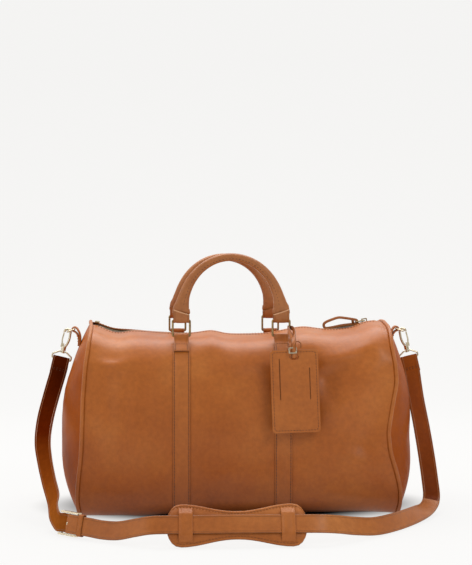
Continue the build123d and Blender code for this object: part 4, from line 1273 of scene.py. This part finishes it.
RING_BAR = 0.072         # the ring's side bar that carries the tag's belt
ring_mid = (RING_LOW + RING_HIGH) / 2
up, wide = (0, 0, 1), (1, 0, 0)
belt_run = [
    (tag_at(0, TAG_HOLE - 0.0006, 0.0036), wide), (tag_at(0, TAG_HOLE + 0.009, 0.0044), wide),
    (tag_at(0, TAG_HOLE + 0.020, 0.0024), (0.95, 0, 0.3)),
    ((RING_BAR + 0.0034, -0.104, ring_mid - 0.004), (0.5, 0, 0.86)),
    ((RING_BAR + 0.0032, -0.086, ring_mid), up),
    ((RING_BAR + 0.0025, -0.074, ring_mid), up), ((RING_BAR + 0.0022, -0.0672, ring_mid), up),
    ((RING_BAR, -0.0654, ring_mid), up), ((RING_BAR - 0.0022, -0.0672, ring_mid), up),
    ((RING_BAR - 0.0025, -0.074, ring_mid), up), ((RING_BAR - 0.0028, -0.086, ring_mid), up),
    ((RING_BAR - 0.0034, -0.103, ring_mid - 0.003), (0.5, 0, 0.86)),
    (tag_at(0, TAG_HOLE + 0.021, -0.0030), (0.95, 0, 0.3)), (tag_at(0, TAG_HOLE + 0.009, -0.0042), wide),
    (tag_at(0, TAG_HOLE - 0.0006, -0.0040), wide), (tag_at(0, TAG_HOLE - 0.0012, 0.0), wide),
    (tag_at(0, TAG_HOLE - 0.0004, 0.0036), wide), (tag_at(0.0004, TAG_HOLE + 0.006, 0.0056), wide),
    (tag_at(0.0000, TAG_HOLE + 0.0110, 0.0070), (0.9, -0.5, 0)),
    (tag_at(0.0002, TAG_HOLE + 0.0165, 0.0085), (0.5, -0.85, 0)),
    (tag_at(0.0028, TAG_HOLE + 0.0205, 0.0095), (0.2, -1, 0.2)),
    (tag_at(0.0066, TAG_HOLE + 0.0205, 0.0100), (0.0, -1, 0.2)),
    (tag_at(0.0092, TAG_HOLE + 0.0170, 0.0098), (-0.1, -1, 0.2)),
    (tag_at(0.0086, TAG_HOLE + 0.0120, 0.0090), (-0.2, -1, 0.2)),
]
belt = closed_piece("tag_belt_leather", [ribbon_mesh(belt_run, 0.0062, 0.0013, crease=0.0011)[:3]],
                    [TRIM, EDGE])
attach(belt, "luggage_tag")
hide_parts("tag_belt")

# ---------------------------------------------------------------- finishes on the CAD pieces that stay

HARDWARE = {
    BRASS: ("rings_front", "rings_back"),
    NICKEL: ("clip_loop_left", "clip_loop_right", "tag_buckle", "buckle_frame", "buckle_prong",
             "d_ring_left", "d_ring_right", "clip_hook_left", "clip_hook_right", "clip_gate_left",
             "clip_gate_right"),
    TEETH: ("zip_slider", "zip_link", "zip_end_tabs"),
    LINING: ("lining", "inner_pocket"),
    TRIM: ("inner_pocket_binding",),
    CORD: ("handle_front_core", "handle_back_core"),
    BOARD: ("base_board",),
    CARD: ("tag_card",),
}
for mat, names in HARDWARE.items():
    for name in names:
        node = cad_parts[name]
        node.data.materials.clear()
        node.data.materials.append(mat)

# ---------------------------------------------------------------- floor, lights and camera

scene = bpy.context.scene
scene.view_settings.view_transform = "Standard"

WORLD_LIGHT = 0.50
FLOOR_GLOW = 0.835        # the backdrop's own light, none of it under the bag, keeps it evenly pale
floor_mat, floor_tree, floor_shader = new_material("studio_floor")
floor_shader.inputs["Base Color"].default_value = (0.10, 0.0995, 0.098, 1)
floor_shader.inputs["Roughness"].default_value = 0.95
floor_shader.inputs["Specular IOR Level"].default_value = 0.0
floor_shader.inputs["Emission Color"].default_value = (1.0, 0.994, 0.983, 1)
# the glow fades to nothing over an oval round the bag's footprint, leaving a painted shadow round and under
# the bag
spot_coords = scaled_coords(floor_tree, (1 / 0.245, 1 / 0.135, 0.05))
spot = add(floor_tree, "ShaderNodeVectorMath", operation="LENGTH")
floor_tree.links.new(spot_coords, spot.inputs[0])
glow = map_range(floor_tree, spot.outputs["Value"], 0.0, FLOOR_GLOW, 0.75, 1.25)
glow.interpolation_type = "SMOOTHSTEP"
floor_tree.links.new(glow.outputs["Result"], floor_shader.inputs["Emission Strength"])
floor_points, floor_rows = [], [(-4.0, 0.0), (1.2, 0.0)]
floor_rows += [(1.2 + 1.2 * math.sin(a), 1.2 - 1.2 * math.cos(a)) for a in np.linspace(0.1, math.pi / 2, 16)]
floor_rows += [(2.4, 5.0)]
for y, z in floor_rows:
    floor_points += [(-6, y, z), (6, y, z)]
floor_faces = [(2 * i, 2 * i + 1, 2 * i + 3, 2 * i + 2) for i in range(len(floor_rows) - 1)]
floor = make_object("studio_floor", floor_points, floor_faces, [floor_mat])

world = bpy.data.worlds.new("studio")
world.use_nodes = True
world.node_tree.nodes["Background"].inputs["Color"].default_value = (1.0, 0.995, 0.985, 1)
world.node_tree.nodes["Background"].inputs["Strength"].default_value = WORLD_LIGHT
scene.world = world


def soft_light(name, place, target, size, power):
    data = bpy.data.lights.new(name, "AREA")
    data.shape = "RECTANGLE"
    data.size, data.size_y = size
    data.energy = power
    lamp = bpy.data.objects.new(name, data)
    lamp.location = place
    lamp.rotation_euler = (Vector(target) - Vector(place)).to_track_quat("-Z", "Y").to_euler()
    scene.collection.objects.link(lamp)


soft_light("overhead", (-0.1, 0.55, 1.7), (0, -0.05, 0.2), (2.2, 1.0), 31)
soft_light("left_window", (-1.7, -0.9, 0.9), (0, 0, 0.15), (1.0, 1.4), 6)
soft_light("right_key", (1.1, -1.5, 1.5), (0, 0, 0.15), (0.8, 0.8), 11)

# the camera that matches the photograph: lens in mm, place in metres, angles in degrees
CAMERA_LENS, CAMERA_PLACE, CAMERA_DOWN, CAMERA_TURN = 85.5, (-0.09, -1.95, 0.36), 1.1, 2.64
camera_data = bpy.data.cameras.new("camera")
camera_data.lens = CAMERA_LENS
camera_data.sensor_width = 36
camera = bpy.data.objects.new("camera", camera_data)
camera.location = CAMERA_PLACE
camera.rotation_euler = (math.radians(90 - CAMERA_DOWN), 0, -math.radians(CAMERA_TURN))
scene.collection.objects.link(camera)
scene.camera = camera
